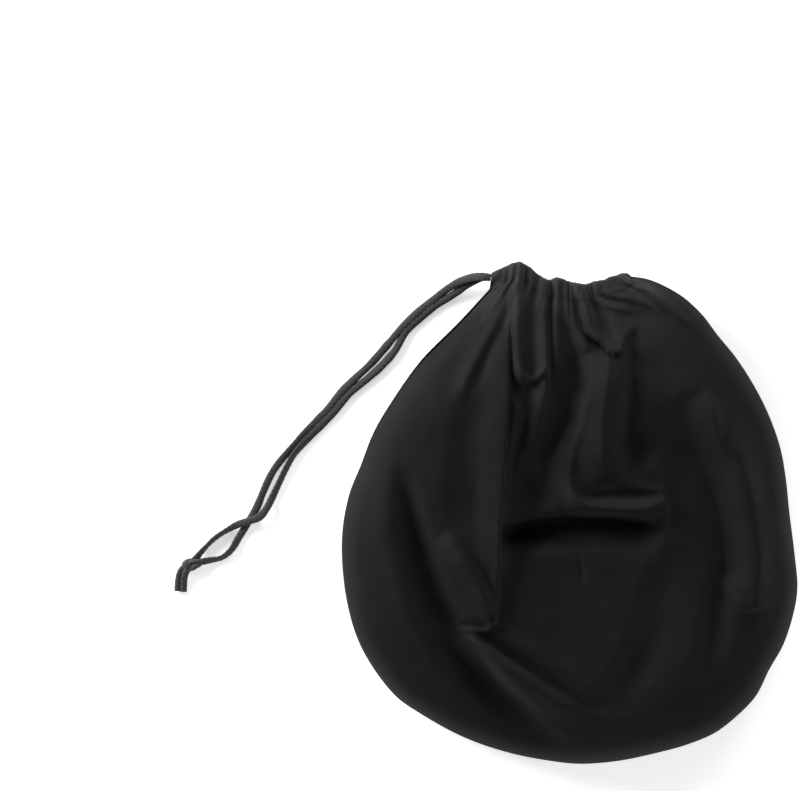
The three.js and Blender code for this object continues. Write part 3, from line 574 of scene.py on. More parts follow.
FOLDS = [
    Fold("long_crease", 0.22, 28, 3.4, 0.2, [
        (-80, -118, 0), (-76.5, -107, 0.45), (-74.3, -88, 0.55), (-73, -63, 0.65), (-72, -39, 0.9),
        (-69.5, 5, 1), (-67.3, 44, 0.95), (-65, 87, 0.85), (-63.7, 115, 0.75), (-63.5, 162, 0.6),
        (-62, 189, 0.35), (-60, 212, 0.15)]),
    Fold("crease_lip", 0.07, 9, 4, 0.4, [
        (-77, -110, 0.4), (-74.3, -88, 1), (-73, -63, 1), (-72, -39, 0.5), (-69.5, 5, 0)]),
    Fold("hollow_by_crease", -0.1, 5, 46, 0, [
        (-63, -73, 0), (-62, -44, 0.6), (-60, -18, 1), (-58, 32, 1), (-54, 72, 0.9), (-51, 102, 0.5),
        (-50, 117, 0)], True),
    Fold("left_valley", -0.42, 40, 18, 0, [
        (10, -245, 0), (-10, -233, 0.5), (-32, -216, 0.85), (-56, -192, 1), (-77, -169, 1),
        (-94, -146, 0.95), (-110, -123, 0.92), (-122, -99, 0.88), (-133, -76, 0.88), (-142, -50, 0.88),
        (-152, -24, 0.75), (-159, 2, 0.5), (-165, 27, 0.25), (-169, 47, 0)]),
    Fold("left_valley_top", -0.07, 12, 34, 0, [
        (-139, -53, 0), (-146, -33, 0.6), (-154, -13, 0.9), (-161, 9, 1), (-166, 28, 0.9),
        (-169, 44, 0.5), (-170, 60, 0)]),
    Fold("left_rim_swell", 0.1, 26, 16, 0, [
        (-140, -128, 0), (-160, -88, 0.7), (-172, -48, 1), (-180, -8, 1), (-184, 32, 0.8),
        (-182, 72, 0.4), (-176, 102, 0)]),
    Fold("left_face_dip", -0.08, 26, 22, 0, [
        (-100, -18, 0), (-104, 12, 0.6), (-106, 42, 1), (-104, 72, 1), (-100, 97, 0.7), (-96, 117, 0)]),
    Fold("light_patch", 0.27, 25, 11, 0.3, [
        (-83, -96, 0.6), (-87, -84, 0.9), (-97, -63, 1), (-108, -45, 0.95), (-117, -33, 0.6),
        (-126, -20, 0)]),
    Fold("pocket_band", -0.09, 12, 5, 0, [
        (-109, -109, 0.2), (-104, -111, 0.9), (-95, -112, 1), (-86, -112, 0.9), (-81, -108, 0.2)]),
    Fold("pocket_lip", 0.05, 4, 3, 0.2, [
        (-114.5, -118, 0.2), (-112, -117.5, 0.8), (-105, -116.5, 1), (-93, -117, 1), (-84, -117, 1),
        (-79, -113, 0.7), (-76, -104, 0.2)]),
    Fold("slant_ridge", 0.25, 13, 22, 0, [
        (-113, -117, 0.3), (-102, -125, 0.7), (-88, -136, 1), (-70, -150, 1), (-50, -163, 1),
        (-30, -176, 0.95), (-8, -190, 0.8), (15, -200, 0.45), (36, -206, 0)]),
    Fold("slant_dark", -0.14, 11, 10, 0, [
        (-105, -117, 0.3), (-88, -124, 0.9), (-70, -135, 1), (-54, -146, 1), (-36, -158, 0.8),
        (-18, -172, 0.6), (2, -184, 0.4), (22, -192, 0)]),
    Fold("slant_second", 0.07, 14, 14, 0, [
        (-76, -112, 0.2), (-55, -125, 0.8), (-30, -140, 1), (-5, -156, 0.9), (20, -172, 0.6),
        (42, -188, 0)]),
    Fold("centre_ridge", 0.3, 27, 24, 0.7, [
        (41, 34, 0.1), (35, 45, 0.6), (31.5, 60, 1), (30.5, 77, 1), (31.5, 93, 1), (33.5, 113, 1),
        (36.5, 136, 1), (37.5, 152, 0.9), (36, 162, 0.5), (32, 167, 0.1)]),
    Fold("centre_ridge_step", 0.05, 8, 16, 0, [
        (60, 30, 0), (50, 38, 0.4), (43, 52, 0.9), (42, 67, 1), (43, 87, 1), (45.5, 112, 1),
        (47.5, 137, 0.8), (46, 152, 0.2)]),
    Fold("right_hollow", -0.1, 10, 50, 0, [
        (60, 36, 0.1), (53, 60, 0.9), (54, 87, 1), (57, 112, 1), (59, 132, 0.9), (59, 154, 0.5),
        (59, 166, 0.1)]),
    Fold("right_hollow_floor", -0.1, 30, 20, 0, [
        (52, 46, 0), (65, 56, 0.8), (85, 62, 1), (102, 50, 1), (110, 32, 0.6), (114, 12, 0)]),
    Fold("foot_line", 0.05, 10, 10, 0.1, [
        (40, 42, 0.4), (47, 36, 1), (59, 29, 1), (75, 24, 1), (86, 21, 0.8), (95, 16, 0.3)]),
    Fold("foot_slit", -0.04, 8, 3, 0, [
        (14, 12, 0.2), (22, 14, 0.9), (36, 16, 0.9), (56, 16.5, 0.8), (74, 16.5, 1), (86, 15, 1),
        (93, 14, 0.3)]),
    Fold("foot_roll", 0.27, 11, 16, 0.1, [
        (-2, 26, 0.3), (0, 18, 0.7), (5, 11, 0.95), (16, 6.5, 1), (34, 4.5, 1), (60, 4, 1),
        (80, 6.5, 0.95), (92, 11, 0.5), (97, 13, 0.1)]),
    Fold("cross_valley", -0.52, 13, 34, 0, [
        (-69, -22, 0.65), (-60, -18, 0.8), (-40, -13, 0.95), (-15, -9.5, 1), (30, -8, 1),
        (55, -10, 0.85), (72, -14, 0.6), (84, -18, 0.3), (94, -21, 0)], True),
    Fold("cross_valley_end", -0.04, 11, 16, 0, [
        (-61, -54, 0), (-58, -44, 0.8), (-55, -30, 1), (-51, -16, 0.8), (-47, -4, 0.2)], True),
    Fold("fold_right_wall", -0.09, 3, 32, 0.2, [
        (96, -26, 0), (97.5, -14, 0.8), (98, 0, 1), (97.5, 12, 0.9), (96, 28, 0.5), (92, 42, 0)]),
    Fold("pleat_left", 0.2, 13, 6, 0.1, [
        (-46, 129, 0.1), (-49, 138, 0.8), (-51, 152, 1), (-51.5, 177, 1), (-51.5, 207, 0.9),
        (-51, 229, 0.8), (-50, 250, 0.6)]),
    Fold("pleat_right", 0.2, 12, 4, 0.2, [
        (-24, 134, 0.3), (-24.5, 141, 0.9), (-25, 169, 1), (-25, 196, 0.9), (-25, 222, 0.5),
        (-25, 240, 0.15)]),
    Fold("pleat_bottom", 0.13, 7, 5, 0.1, [
        (-51, 142, 0.3), (-48, 135, 0.9), (-43, 131.5, 1), (-37, 132.5, 1), (-31, 137, 1),
        (-25, 143, 0.6)]),
    Fold("pleat_between", -0.05, 8, 9, 0, [
        (-40, 138, 0.5), (-39, 157, 1), (-38.5, 173, 1), (-39, 202, 0.8), (-40, 232, 0.5),
        (-40, 247, 0.2)]),
    Fold("pleat_left_valley", -0.03, 3.4, 5, 0, [
        (-56, 120, 0), (-57, 134, 0.9), (-57.5, 167, 1), (-57.5, 195, 0.8), (-57, 217, 0.4),
        (-57, 237, 0.3)], True),
    Fold("pleat_right_valley", -0.04, 3, 12, 0, [
        (-20.5, 120, 0.4), (-20.5, 138, 1), (-20.5, 182, 0.9), (-20.5, 212, 0.5), (-20, 237, 0.2)]),
    Fold("under_pleat", -0.05, 12, 12, 0, [
        (-49, 100, 0), (-46, 112, 1), (-40, 120, 1), (-33, 126, 0.6), (-29, 130, 0)], True),
    Fold("soft_ridge", 0.08, 8, 9, 0, [
        (-14, 127, 0), (-14, 147, 1), (-13, 182, 1), (-12, 212, 0.6)]),
    Fold("upper_hollow", -0.1, 18, 13, 0, [
        (7, 120, 0.2), (7, 137, 1), (4, 160, 1), (-2, 184, 0.6), (-7, 202, 0)]),
    Fold("pleat_tail", 0.12, 16, 4, 0.2, [
        (-48, 56, 0.2), (-38, 68, 0.9), (-31, 82, 1), (-28, 102, 1), (-24.5, 124, 1), (-23, 140, 0.4)], True),
    Fold("diagonal_hollow", -0.21, 26, 24, 0, [
        (-42, -4, 0), (-36, 12, 0.6), (-30, 37, 0.9), (-22, 62, 1), (-12, 87, 1), (-4, 112, 1),
        (1, 132, 0.9), (3, 150, 0.7), (2, 167, 0.4), (-2, 187, 0)], True),
    Fold("centre_left_edge", 0.04, 4, 7, 0.1, [
        (14, 10, 0.5), (5, 15, 1), (-0.5, 25, 1), (-1.5, 39, 1), (2.5, 62, 1), (9, 86, 1),
        (16, 112, 0.9), (19.5, 137, 0.8), (20, 160, 0.3)]),
    Fold("small_facet", 0.07, 9, 6, 0.1, [
        (-59, 68, 0.2), (-54, 86, 0.9), (-51.5, 101, 1), (-56, 111, 0.8), (-60, 118, 0.2)], True),
    Fold("low_facet", 0.05, 14, 6, 0.2, [
        (-36, 2, 0), (-35, 22, 0.8), (-34, 42, 1), (-37, 54, 0.3)], True),
    Fold("ridge_by_flap", 0.12, 11, 7, 0.1, [
        (20, 160, 0.3), (15, 165, 0.9), (9, 175, 1), (2, 195, 1), (-2, 214, 0.8), (-4, 232, 0.3)]),
    Fold("flap_rim", 0.04, 2.6, 3.4, 0.2, [
        (52, 168, 0.4), (49, 161.5, 1), (44, 161, 1), (32.5, 171, 1), (21.5, 179.5, 1), (18, 191, 1),
        (15.3, 206.5, 0.9), (11, 218, 0.5)]),
    Fold("flap", 0.24, 3.5, 24, 0.3, [
        (70, 190, 0), (61, 182, 0.4), (55, 175, 0.8), (51, 166, 1), (49, 160, 1), (43.5, 159, 1),
        (32, 169, 1), (20, 178, 1), (16, 191, 1), (13.3, 206.5, 1), (9, 218, 0.7), (3, 228, 0.3),
        (-2, 238, 0.1)]),
    Fold("flap_hollow", -0.14, 8, 10, 0, [
        (44, 167, 0.3), (35, 179, 1), (27, 196, 1), (22, 212, 0.7), (18, 228, 0.3)]),
    Fold("flap_shadow", -0.16, 3, 3, 0, [
        (42, 155, 0.2), (32, 164, 0.9), (22, 172, 1), (17, 178, 0.4)]),
    Fold("flap_light", 0.09, 10, 14, 0, [
        (52, 182, 0.3), (45, 194, 1), (38, 209, 0.8), (34, 224, 0.3)]),
    Fold("shoulder_one", 0.14, 6, 14, 0.2, [
        (92, 198, 0), (80, 206, 0.9), (66, 211.5, 1), (52, 214.5, 1), (36, 218, 0.9), (26, 224, 0.5)]),
    Fold("shoulder_two", 0.09, 5, 9, 0.2, [
        (72, 198, 0), (60, 201, 0.9), (43, 204, 1), (32, 208, 0.8), (24, 214, 0.3)]),
    Fold("shoulder_three", 0.22, 5, 12, 0.3, [
        (122, 182, 0), (109, 194, 0.8), (94, 208, 1), (80, 220, 1), (66, 226, 0.8), (52, 232, 0.3)]),
    Fold("shoulder_four", 0.11, 6, 10, 0.2, [
        (136, 182, 0), (122, 200, 0.9), (106, 214, 1), (90, 224, 0.5)]),
    Fold("mouth_gather_a", 0.04, 5, 4, 0, [
        (5, 202, 0), (5, 214, 0.8), (5, 232, 1)]),
    Fold("mouth_gather_b", 0.03, 4, 4, 0, [
        (14, 200, 0), (16, 214, 0.8), (16, 232, 1)]),
    Fold("mouth_gather_c", 0.04, 5, 5, 0, [
        (30, 206, 0), (27, 218, 0.8), (26, 234, 1)]),
    Fold("left_gather", -0.07, 10, 9, 0, [
        (-96, 120, 0), (-88, 142, 0.6), (-77, 168, 1), (-68, 188, 1), (-63, 212, 0.7), (-61, 232, 0.4)]),
    Fold("upper_left_fold", 0.11, 16, 9, 0.1, [
        (-108, 110, 0), (-106, 126, 0.8), (-100, 142, 1), (-90, 162, 1), (-78, 184, 0.9),
        (-70, 206, 0.6), (-66, 227, 0.3)]),
    Fold("upper_left_dip", -0.06, 18, 14, 0, [
        (-130, 108, 0), (-120, 130, 0.7), (-106, 158, 1), (-90, 186, 0.6), (-80, 207, 0)]),
    Fold("right_ridge", 0.37, 34, 30, 0.35, [
        (174, -92, 0.1), (182, -81, 0.7), (187, -60, 1), (187, -33, 1), (184, -3, 1), (177, 27, 1),
        (167, 54, 0.8), (154, 80, 0.6), (138, 102, 0.4), (124, 117, 0.1)]),
    Fold("right_valley", -0.24, 46, 34, 0.45, [
        (134, -148, 0), (140, -124, 0.35), (147, -100, 0.65), (153, -76, 0.85), (154, -54, 0.95),
        (151.5, -28, 1), (146.5, 0, 1), (138, 27, 1), (127, 55, 0.9), (118, 80, 0.6), (110, 100, 0.3),
        (103, 116, 0)]),
    Fold("right_top_edge", 0.14, 30, 12, 0.5, [
        (152, 50, 0), (146, 72, 0.8), (142, 92, 1), (136, 108, 0.7), (128, 120, 0.2)]),
    Fold("right_small_edge", -0.05, 6, 12, 0.2, [
        (158, 60, 0), (152, 72, 0.9), (149, 84, 1), (146, 94, 0.2)]),
    Fold("right_edge_dip", -0.04, 14, 12, 0, [
        (200, -94, 0.1), (202, -63, 0.9), (200, -18, 1), (196, 22, 0.9), (187, 57, 0.5), (175, 82, 0)]),
    Fold("right_foot_line", 0.12, 18, 5, 0.2, [
        (154, -62, 0), (157, -77, 0.7), (163, -88, 1), (173, -95, 1), (187, -93, 1), (202, -89, 0.7),
        (214, -86, 0.2)]),
    Fold("lower_right_valley", -0.15, 32, 44, 0, [
        (48, -200, 0), (60, -178, 0.35), (71, -148, 0.8), (82, -116, 1), (94, -78, 1), (106, -50, 0.8),
        (120, -23, 0.3), (128, -3, 0)]),
    Fold("low_right_hollow", -0.13, 16, 26, 0, [
        (130, -178, 0), (134, -148, 0.8), (138, -118, 1), (143, -88, 1), (146, -63, 0.4)]),
    Fold("bottom_valley", -0.14, 22, 30, 0, [
        (-10, -223, 0), (15, -200, 0.6), (42, -178, 0.9), (62, -148, 0.8), (70, -123, 0.2)]),
    Fold("small_crease", -0.05, 3.4, 5, 0.2, [
        (9.5, -71, 0), (9.5, -62, 1), (8, -48, 0.8), (6, -37, 0)]),
]


@dataclass
class BagPattern:
    """The bag's outline, mouth and heights, which the panels and the casing share."""

    width: float = 455.7
    length: float = 503.7
    seam_height: float = 18.0
    front_rise: float = 46.0
    centre_sink: float = 4.0
    rim_width: float = 100.0
    sag_start: float = 54.0
    fold_fade: float = 60.0
    under_rim: float = 56.0
    roundness: float = 2.2
    casing_depth: float = 18.0
    corner_taper: float = 0.8
    crease_lean: float = 1.8
    casing_thick: float = 8.0
    mouth_gap: float = 14.0
    gap: float = 0.3
    panel_tuck: float = 2.5
    mouth_fold_share: float = 0.55
    flush: float = 3.2
    mouth_reach: float = 0.30
    ruffles: int = 10
    ruffle_height: float = 1.6
    left_side: float = 0.36
    right_side: float = 0.68
    seam_parts: int = 150
    stitch_drop: float = 0.9
    taper_parts: int = 8
    mouth_ease: float = 0.7
    coarse_ruffle: float = 3.1
    fine_ruffle: float = 1.3
    fine_share: float = 0.6
    even_share: float = 0.35
    uneven_share: float = 0.9
    under_ruffle: float = 0.5
    gather_decay: float = 9.0
    crease_cover: float = 26.0
    cover_fade: float = 16.0
    cover_gain: float = 1.6
    lean_run: float = 8.0
    lean_gap: float = 0.15
    lean_gain: float = 1.3
    mouth_fade: float = 14.0
    least_height: float = 1.5
    # The cloth's soft unevenness: the size of a swelling, its seed and its height
    swellings: tuple[tuple[float, int, float], ...] = ((31.0, 3, 0.9), (13.0, 4, 0.32))
    swell_fade: float = 40.0
    # The gathers that run down the back panel from the mouth
    ray_height: float = 1.6
    ray_turns: float = 34.0
    ray_sway: float = 1.3
    sway_turns: float = 11.0
    ray_start: float = 9.0
    ray_decay: float = 5.0
    # How the back panel lies on the floor
    floor_gap: float = 0.15
    floor_swell: float = 0.12
    floor_cell: float = 25.0
    mouth: list[tuple[float, float, float]] = field(default_factory=lambda: [
        (-0.341, 0.950, -8), (-0.281, 0.976, -8), (-0.221, 0.993, -7), (-0.163, 0.962, -5),
        (-0.102, 0.925, -3), (-0.043, 0.930, -1), (0.016, 0.910, 2), (0.075, 0.906, 8),
        (0.105, 0.914, 14), (0.142, 0.921, 28), (0.178, 0.933, 46), (0.212, 0.941, 64), (0.250, 0.937, 86)])
    outline: list[Point] = field(default_factory=lambda: [
        (-0.488, 0.745), (-0.651, 0.598), (-0.770, 0.450), (-0.859, 0.316), (-0.918, 0.181),
        (-0.970, 0.061), (-1.000, -0.114), (-0.978, -0.355), (-0.911, -0.544), (-0.770, -0.725),
        (-0.651, -0.803), (-0.458, -0.897), (-0.266, -0.956), (-0.088, -0.988), (0.046, -1.000),
        (0.209, -0.989), (0.372, -0.959), (0.521, -0.922), (0.639, -0.876), (0.728, -0.815),
        (0.817, -0.731), (0.877, -0.624), (0.936, -0.530), (0.981, -0.409), (1.000, -0.302),
        (0.988, -0.168), (0.966, -0.006), (0.951, 0.128), (0.928, 0.249), (0.884, 0.369),
        (0.820, 0.490), (0.736, 0.611), (0.654, 0.703), (0.588, 0.783), (0.506, 0.853),
        (0.412, 0.903), (0.345, 0.926)])

    def __post_init__(self) -> None:
        """Works out the lines that the rest is measured from."""
        half = np.array([self.width / 2, self.length / 2])
        self.mouth_line = smooth_line(np.array([(x, y) for x, y, _ in self.mouth]) * half, 20)
        self.mouth_slants = np.radians([slant for _, _, slant in self.mouth])
        start = self.stitch_line(np.array([0.0, 1.0]))
        rows = np.vstack([start[:1], np.array(self.outline) * half, start[1:]])
        self.seam_line = smooth_line(rows, 12)
        sparse = along(self.seam_line, np.linspace(0, 1, self.seam_parts + 1))
        self.seam_rows = np.column_stack([sparse, np.zeros(len(sparse))])
        self.fold_lines = [smooth_line(fold.path, 8) for fold in FOLDS]

    def lip(self, share: np.ndarray) -> tuple[np.ndarray, np.ndarray]:
        """The mouth's edge.

        Args:
            share: from 0 at the mouth's left corner to 1 at its right corner.

        Returns:
            The edge's places in plan, and the unit ways down into the bag.
        """
        index = share * (len(self.mouth_line) - 1)
        numbers = np.arange(len(self.mouth_line))
        edge = np.stack([np.interp(index, numbers, self.mouth_line[:, k]) for k in range(2)], axis=-1)
        slant = np.interp(share * (len(self.mouth) - 1), np.arange(len(self.mouth)), self.mouth_slants)
        return edge, np.stack([np.sin(slant), -np.cos(slant)], axis=-1)

    def casing_reach(self, share: np.ndarray) -> np.ndarray:
        """The share of its full depth that the casing has, as it tapers towards its right corner."""
        return 1 - self.corner_taper * ease(share * self.taper_parts - (self.taper_parts - 1))

    def stitch_line(self, share: np.ndarray) -> np.ndarray:
        """The plan of the casing's lower edge, where the panels begin."""
        edge, down = self.lip(share)
        return edge + down * (self.casing_depth * self.casing_reach(share) + self.stitch_drop)[..., None]

    def lift(self, share: np.ndarray) -> np.ndarray:
        """How far the casing's middle lies from the seam's level."""
        closed = self.casing_thick / 2 + self.gap
        arch = np.sin(np.pi * np.clip(share, 0, 1)) ** self.mouth_ease
        return (closed + arch * (self.mouth_gap / 2 - self.gap)) * self.casing_reach(share)

    def ruffle(self, share: np.ndarray) -> np.ndarray:
        """The uneven little waves of the gathered edge, in height."""
        arch = np.sqrt(np.sin(np.pi * np.clip(share, 0, 1)))
        even = np.sin(2 * np.pi * self.ruffles * share)
        coarse = soft_noise(share * 100, share * 0, self.coarse_ruffle, seed=5)
        fine = soft_noise(share * 100, share * 0, self.fine_ruffle, seed=9)
        uneven = coarse + self.fine_share * fine
        return self.ruffle_height * arch * (self.even_share * even + self.uneven_share * uneven)

    def plan(self, across: np.ndarray, down: np.ndarray) -> tuple[np.ndarray, np.ndarray]:
        """The place in plan of a panel's point.

        Args:
            across: from 0 at its left side to 1 at its right side.
            down: from 0 at the casing to 1 at the bottom.

        Returns:
            The places' x and y.
        """
        edge, way = self.lip(across)
        depth = self.casing_depth * self.casing_reach(across) + self.stitch_drop
        depth = depth - self.panel_tuck * (1 - down)
        top = edge + way * depth[..., None]
        bottom = along(self.seam_line, self.left_side + (self.right_side - self.left_side) * across)
        left = along(self.seam_line, self.left_side * down)
        right = along(self.seam_line, 1 + (self.right_side - 1) * down)
        corners = along(self.seam_line, np.array([0.0, 1.0, self.left_side, self.right_side]))
        a, d = across[..., None], down[..., None]
        sides = left * (1 - a) + right * a + top * (1 - d) + bottom * d
        upper = corners[0] * (1 - a) + corners[1] * a
        lower = corners[2] * (1 - a) + corners[3] * a
        flat = sides - upper * (1 - d) - lower * d
        return flat[..., 0], flat[..., 1]

    def puff(self, distance: np.ndarray, width: float) -> np.ndarray:
        """A rounded edge that leaves the seam upright and levels out at the given width."""
        rest = 1 - np.clip(distance / width, 0, 1)
        return (1 - rest**self.roundness) ** (1 / self.roundness)

    def folds_at(self, x: np.ndarray, y: np.ndarray) -> np.ndarray:
        """What all the folds add to the front panel's height at places in plan."""
        total = np.zeros(x.shape)
        from_crease, crease_side, crease_strength = near_line(self.fold_lines[0], x, y)
        covered = ease(1 - (from_crease - self.crease_cover) / self.cover_fade)
        covered = covered * np.clip(crease_strength * self.cover_gain, 0, 1)
        bare = 1 - covered * np.where(crease_side < 0, 1.0, 0.0)
        for fold, line in zip(FOLDS, self.fold_lines):
            reach = max(fold.left, fold.right)
            low, high = line[:, :2].min(axis=0) - reach, line[:, :2].max(axis=0) + reach
            inside = (x > low[0]) & (x < high[0]) & (y > low[1]) & (y < high[1])
            distance, side, strength = near_line(line, x[inside], y[inside])
            wide = np.where(side > 0, fold.right, fold.left)
            share = np.clip(1 - distance / wide, 0, 1)
            form = ease(share) * (1 - fold.sharp) + share * fold.sharp
            added = fold.rise * self.front_rise * np.clip(strength, 0, 1) * form
            total[inside] += added * bare[inside] if fold.under_crease else added
        return total

    def lean(self, x: np.ndarray, y: np.ndarray) -> np.ndarray:
        """How far the cloth leans to the right at the long crease, so that its edge stands upright."""
        distance, side, strength = near_line(self.fold_lines[0], x, y)
        reach, ground = self.crease_lean, FOLDS[0].right
        far = self.lean_run * reach
        places = [-far, 0.0, ground, far]
        shift = np.interp(distance * side, places, [0.0, reach, self.lean_gap - reach, 0.0])
        return shift * np.clip(self.lean_gain * strength, 0, 1)

    def front_height(self, across: np.ndarray, down: np.ndarray, x: np.ndarray, y: np.ndarray) -> np.ndarray:
        """The front panel's outer face.

        Args:
            across: shares across the panel.
            down: shares down the panel, from the casing.
            x: the places in plan.
            y: the places in plan.

        Returns:
            The heights above the surface that the bag lies on.
        """
        distance, _, _ = near_line(self.seam_rows, x, y)
        sag = self.centre_sink * ease((distance - self.sag_start) / (self.width / 2 - self.rim_width))
        field_height = self.front_rise * self.puff(distance, self.rim_width) - sag
        settled = ease(down / self.mouth_reach)
        held = self.mouth_fold_share + (1 - self.mouth_fold_share) * settled
        fade = ease(distance / self.fold_fade) * settled + ease(distance / self.mouth_fade) * (1 - settled)
        folds = self.folds_at(x, y) * held * fade
        gather = self.ruffle(across) * np.exp(-down * self.gather_decay)
        base = (self.lift(across) + self.flush) * (1 - settled) + field_height * settled + gather
        height = base * self.puff(distance, self.casing_depth) + folds
        uneven = sum(soft_noise(x, y, cell, seed) * swell for cell, seed, swell in self.swellings)
        height += uneven * ease(distance / self.swell_fade)
        least = np.minimum(self.least_height, distance)
        return self.seam_height + self.gap / 2 + np.maximum(least, height)

    def back_height(self, across: np.ndarray, down: np.ndarray, x: np.ndarray, y: np.ndarray) -> np.ndarray:
        """The back panel's outer face, from the same arguments as front_height."""
        distance, _, _ = near_line(self.seam_rows, x, y)
        flat = (self.seam_height - self.gap / 2) * self.puff(distance, self.under_rim)
        settled = ease(down / self.mouth_reach)
        gather = -self.ruffle(across) * self.under_ruffle * np.exp(-down * self.gather_decay)
        bend = np.sin(across * self.ray_turns + self.ray_sway * np.sin(across * self.sway_turns))
        rays = bend * self.ray_height * np.exp(-down * self.ray_decay) * ease(down * self.ray_start)
        height = (self.lift(across) + self.flush + gather) * (1 - settled) + flat * settled + rays
        height *= self.puff(distance, self.casing_depth)
        least = np.minimum(self.least_height, distance)
        level = self.seam_height - self.gap / 2 - np.maximum(least, height)
        resting = self.floor_gap + self.floor_swell * soft_noise(x, y, self.floor_cell, seed=12)
        return np.maximum(level, resting)


# The cloth panels


@dataclass
class ClothPanel:
    """One panel of the bag: a fine outer face and a plainer inner face that meet at its edge."""

    pattern: BagPattern
    side: Side
    columns: int
    rows: int
    thinning: int = 4
    cloth: float = 1.2
    side_pull: float = 0.6
    bottom_pull: float = 0.7

    def shares(self) -> tuple[np.ndarray, np.ndarray]:
        """The grid's shares across and down, closer together where the sewn edge is steep."""
        u = np.linspace(0, 1, self.columns + 1)
        v = np.linspace(0, 1, self.rows + 1)
        across = u - self.side_pull * np.sin(2 * np.pi * u) / (2 * np.pi)
        down = v + self.bottom_pull * np.sin(np.pi * v) / np.pi
        return np.meshgrid(across, down)

    def outer_face(self) -> np.ndarray:
        """The outer face's points, rows by columns by three."""
        across, down = self.shares()
        x, y = self.pattern.plan(across, down)
        shape = self.pattern.front_height if self.side is Side.FRONT else self.pattern.back_height
        level = shape(across, down, x, y)
        leaning = self.pattern.lean(x, y) if self.side is Side.FRONT else 0.0
        return np.stack([x + leaning, y, level], axis=-1)

    def inner_heights(self, outer: np.ndarray) -> np.ndarray:
        """Heights that stay inside the outer face all round each point.

        Args:
            outer: the outer face's points.

        Returns:
            A height for each point of the outer face.
        """
        sign = self.side.value
        level = outer[..., 2] * sign
        reach = self.thinning
        padded = np.pad(level, reach, mode="edge")
        lowest = level.copy()
        for j in range(2 * reach + 1):
            for i in range(2 * reach + 1):
                lowest = np.minimum(lowest, padded[j : j + level.shape[0], i : i + level.shape[1]])
        seam = (self.pattern.seam_height + sign * self.pattern.gap / 2) * sign
        return sign * np.maximum(lowest - self.cloth, np.minimum(seam, level))

    def cloth_places(self, outer: np.ndarray) -> np.ndarray:
        """Each point's place on the flat cloth, in metres, from the lengths along the grid."""
        down_steps = np.linalg.norm(np.diff(outer, axis=0), axis=-1)
        across_steps = np.linalg.norm(np.diff(outer, axis=1), axis=-1)
        first_row, first_column = np.zeros((1, outer.shape[1])), np.zeros((outer.shape[0], 1))
        v = np.concatenate([first_row, np.cumsum(down_steps, axis=0)]) + self.pattern.casing_depth
        u = np.concatenate([first_column, np.cumsum(across_steps, axis=1)], axis=1)
        u -= u[:, [outer.shape[1] // 2]]
        return np.stack([u, v], axis=-1) * MM

    def build(self, name: str, material: bpy.types.Material) -> bpy.types.Object:
        """Builds the closed panel.

        Args:
            name: the piece's name.
            material: the cloth.

        Returns:
            The panel's object.
        """
        outer = self.outer_face()
        places = self.cloth_places(outer)
        step = self.thinning
        inside = self.inner_heights(outer)
        inner = outer[::step, ::step].copy()
        inner[..., 2] = inside[::step, ::step]
        rows, columns = outer.shape[:2]
        inner_rows, inner_columns = inner.shape[:2]
        number = np.arange(rows * columns).reshape(rows, columns)
        inner_number = np.full((inner_rows, inner_columns), -1)
        inner_number[1:-1, 1:-1] = rows * columns + np.arange((inner_rows - 2) * (inner_columns - 2)).reshape(
            inner_rows - 2, inner_columns - 2
        )
        inner_number[0], inner_number[-1] = number[0, ::step], number[-1, ::step]
        inner_number[:, 0], inner_number[:, -1] = number[::step, 0], number[::step, -1]
        faces = grid_faces(rows, columns)
        faces += self.inner_faces(number, inner_number, step)
        points = np.concatenate([outer.reshape(-1, 3), inner[1:-1, 1:-1].reshape(-1, 3)])
        uv = np.concatenate([places.reshape(-1, 2), places[::step, ::step][1:-1, 1:-1].reshape(-1, 2)])
        return make_piece(name, points, faces, material, uv)

    def inner_faces(self, number: np.ndarray, inner_number: np.ndarray, step: int) -> list[tuple[int, ...]]:
        """The inner face's quads, whose edge cells take in every point of the outer face's edge.

        Args:
            number: the outer face's point numbers.
            inner_number: the inner face's point numbers.
            step: how many outer cells an inner cell spans.

        Returns:
            The faces, turned the other way from the outer ones.
        """
        faces = []
        last_row, last_column = inner_number.shape[0] - 2, inner_number.shape[1] - 2
        for j in range(last_row + 1):
            for i in range(last_column + 1):
                across = slice(i * step, (i + 1) * step + 1)
                down = slice(j * step, (j + 1) * step + 1)
                top = number[0, across] if j == 0 else inner_number[j, i : i + 2]
                right = number[down, -1] if i == last_column else inner_number[j : j + 2, i + 1]
                bottom = number[-1, across] if j == last_row else inner_number[j + 1, i : i + 2]
                left = number[down, 0] if i == 0 else inner_number[j : j + 2, i]
                ring = np.concatenate([top[:-1], right[:-1], bottom[:0:-1], left[:0:-1]])
                faces.append(tuple(ring[::-1].tolist()))
        return faces


# The casing and its drawstring


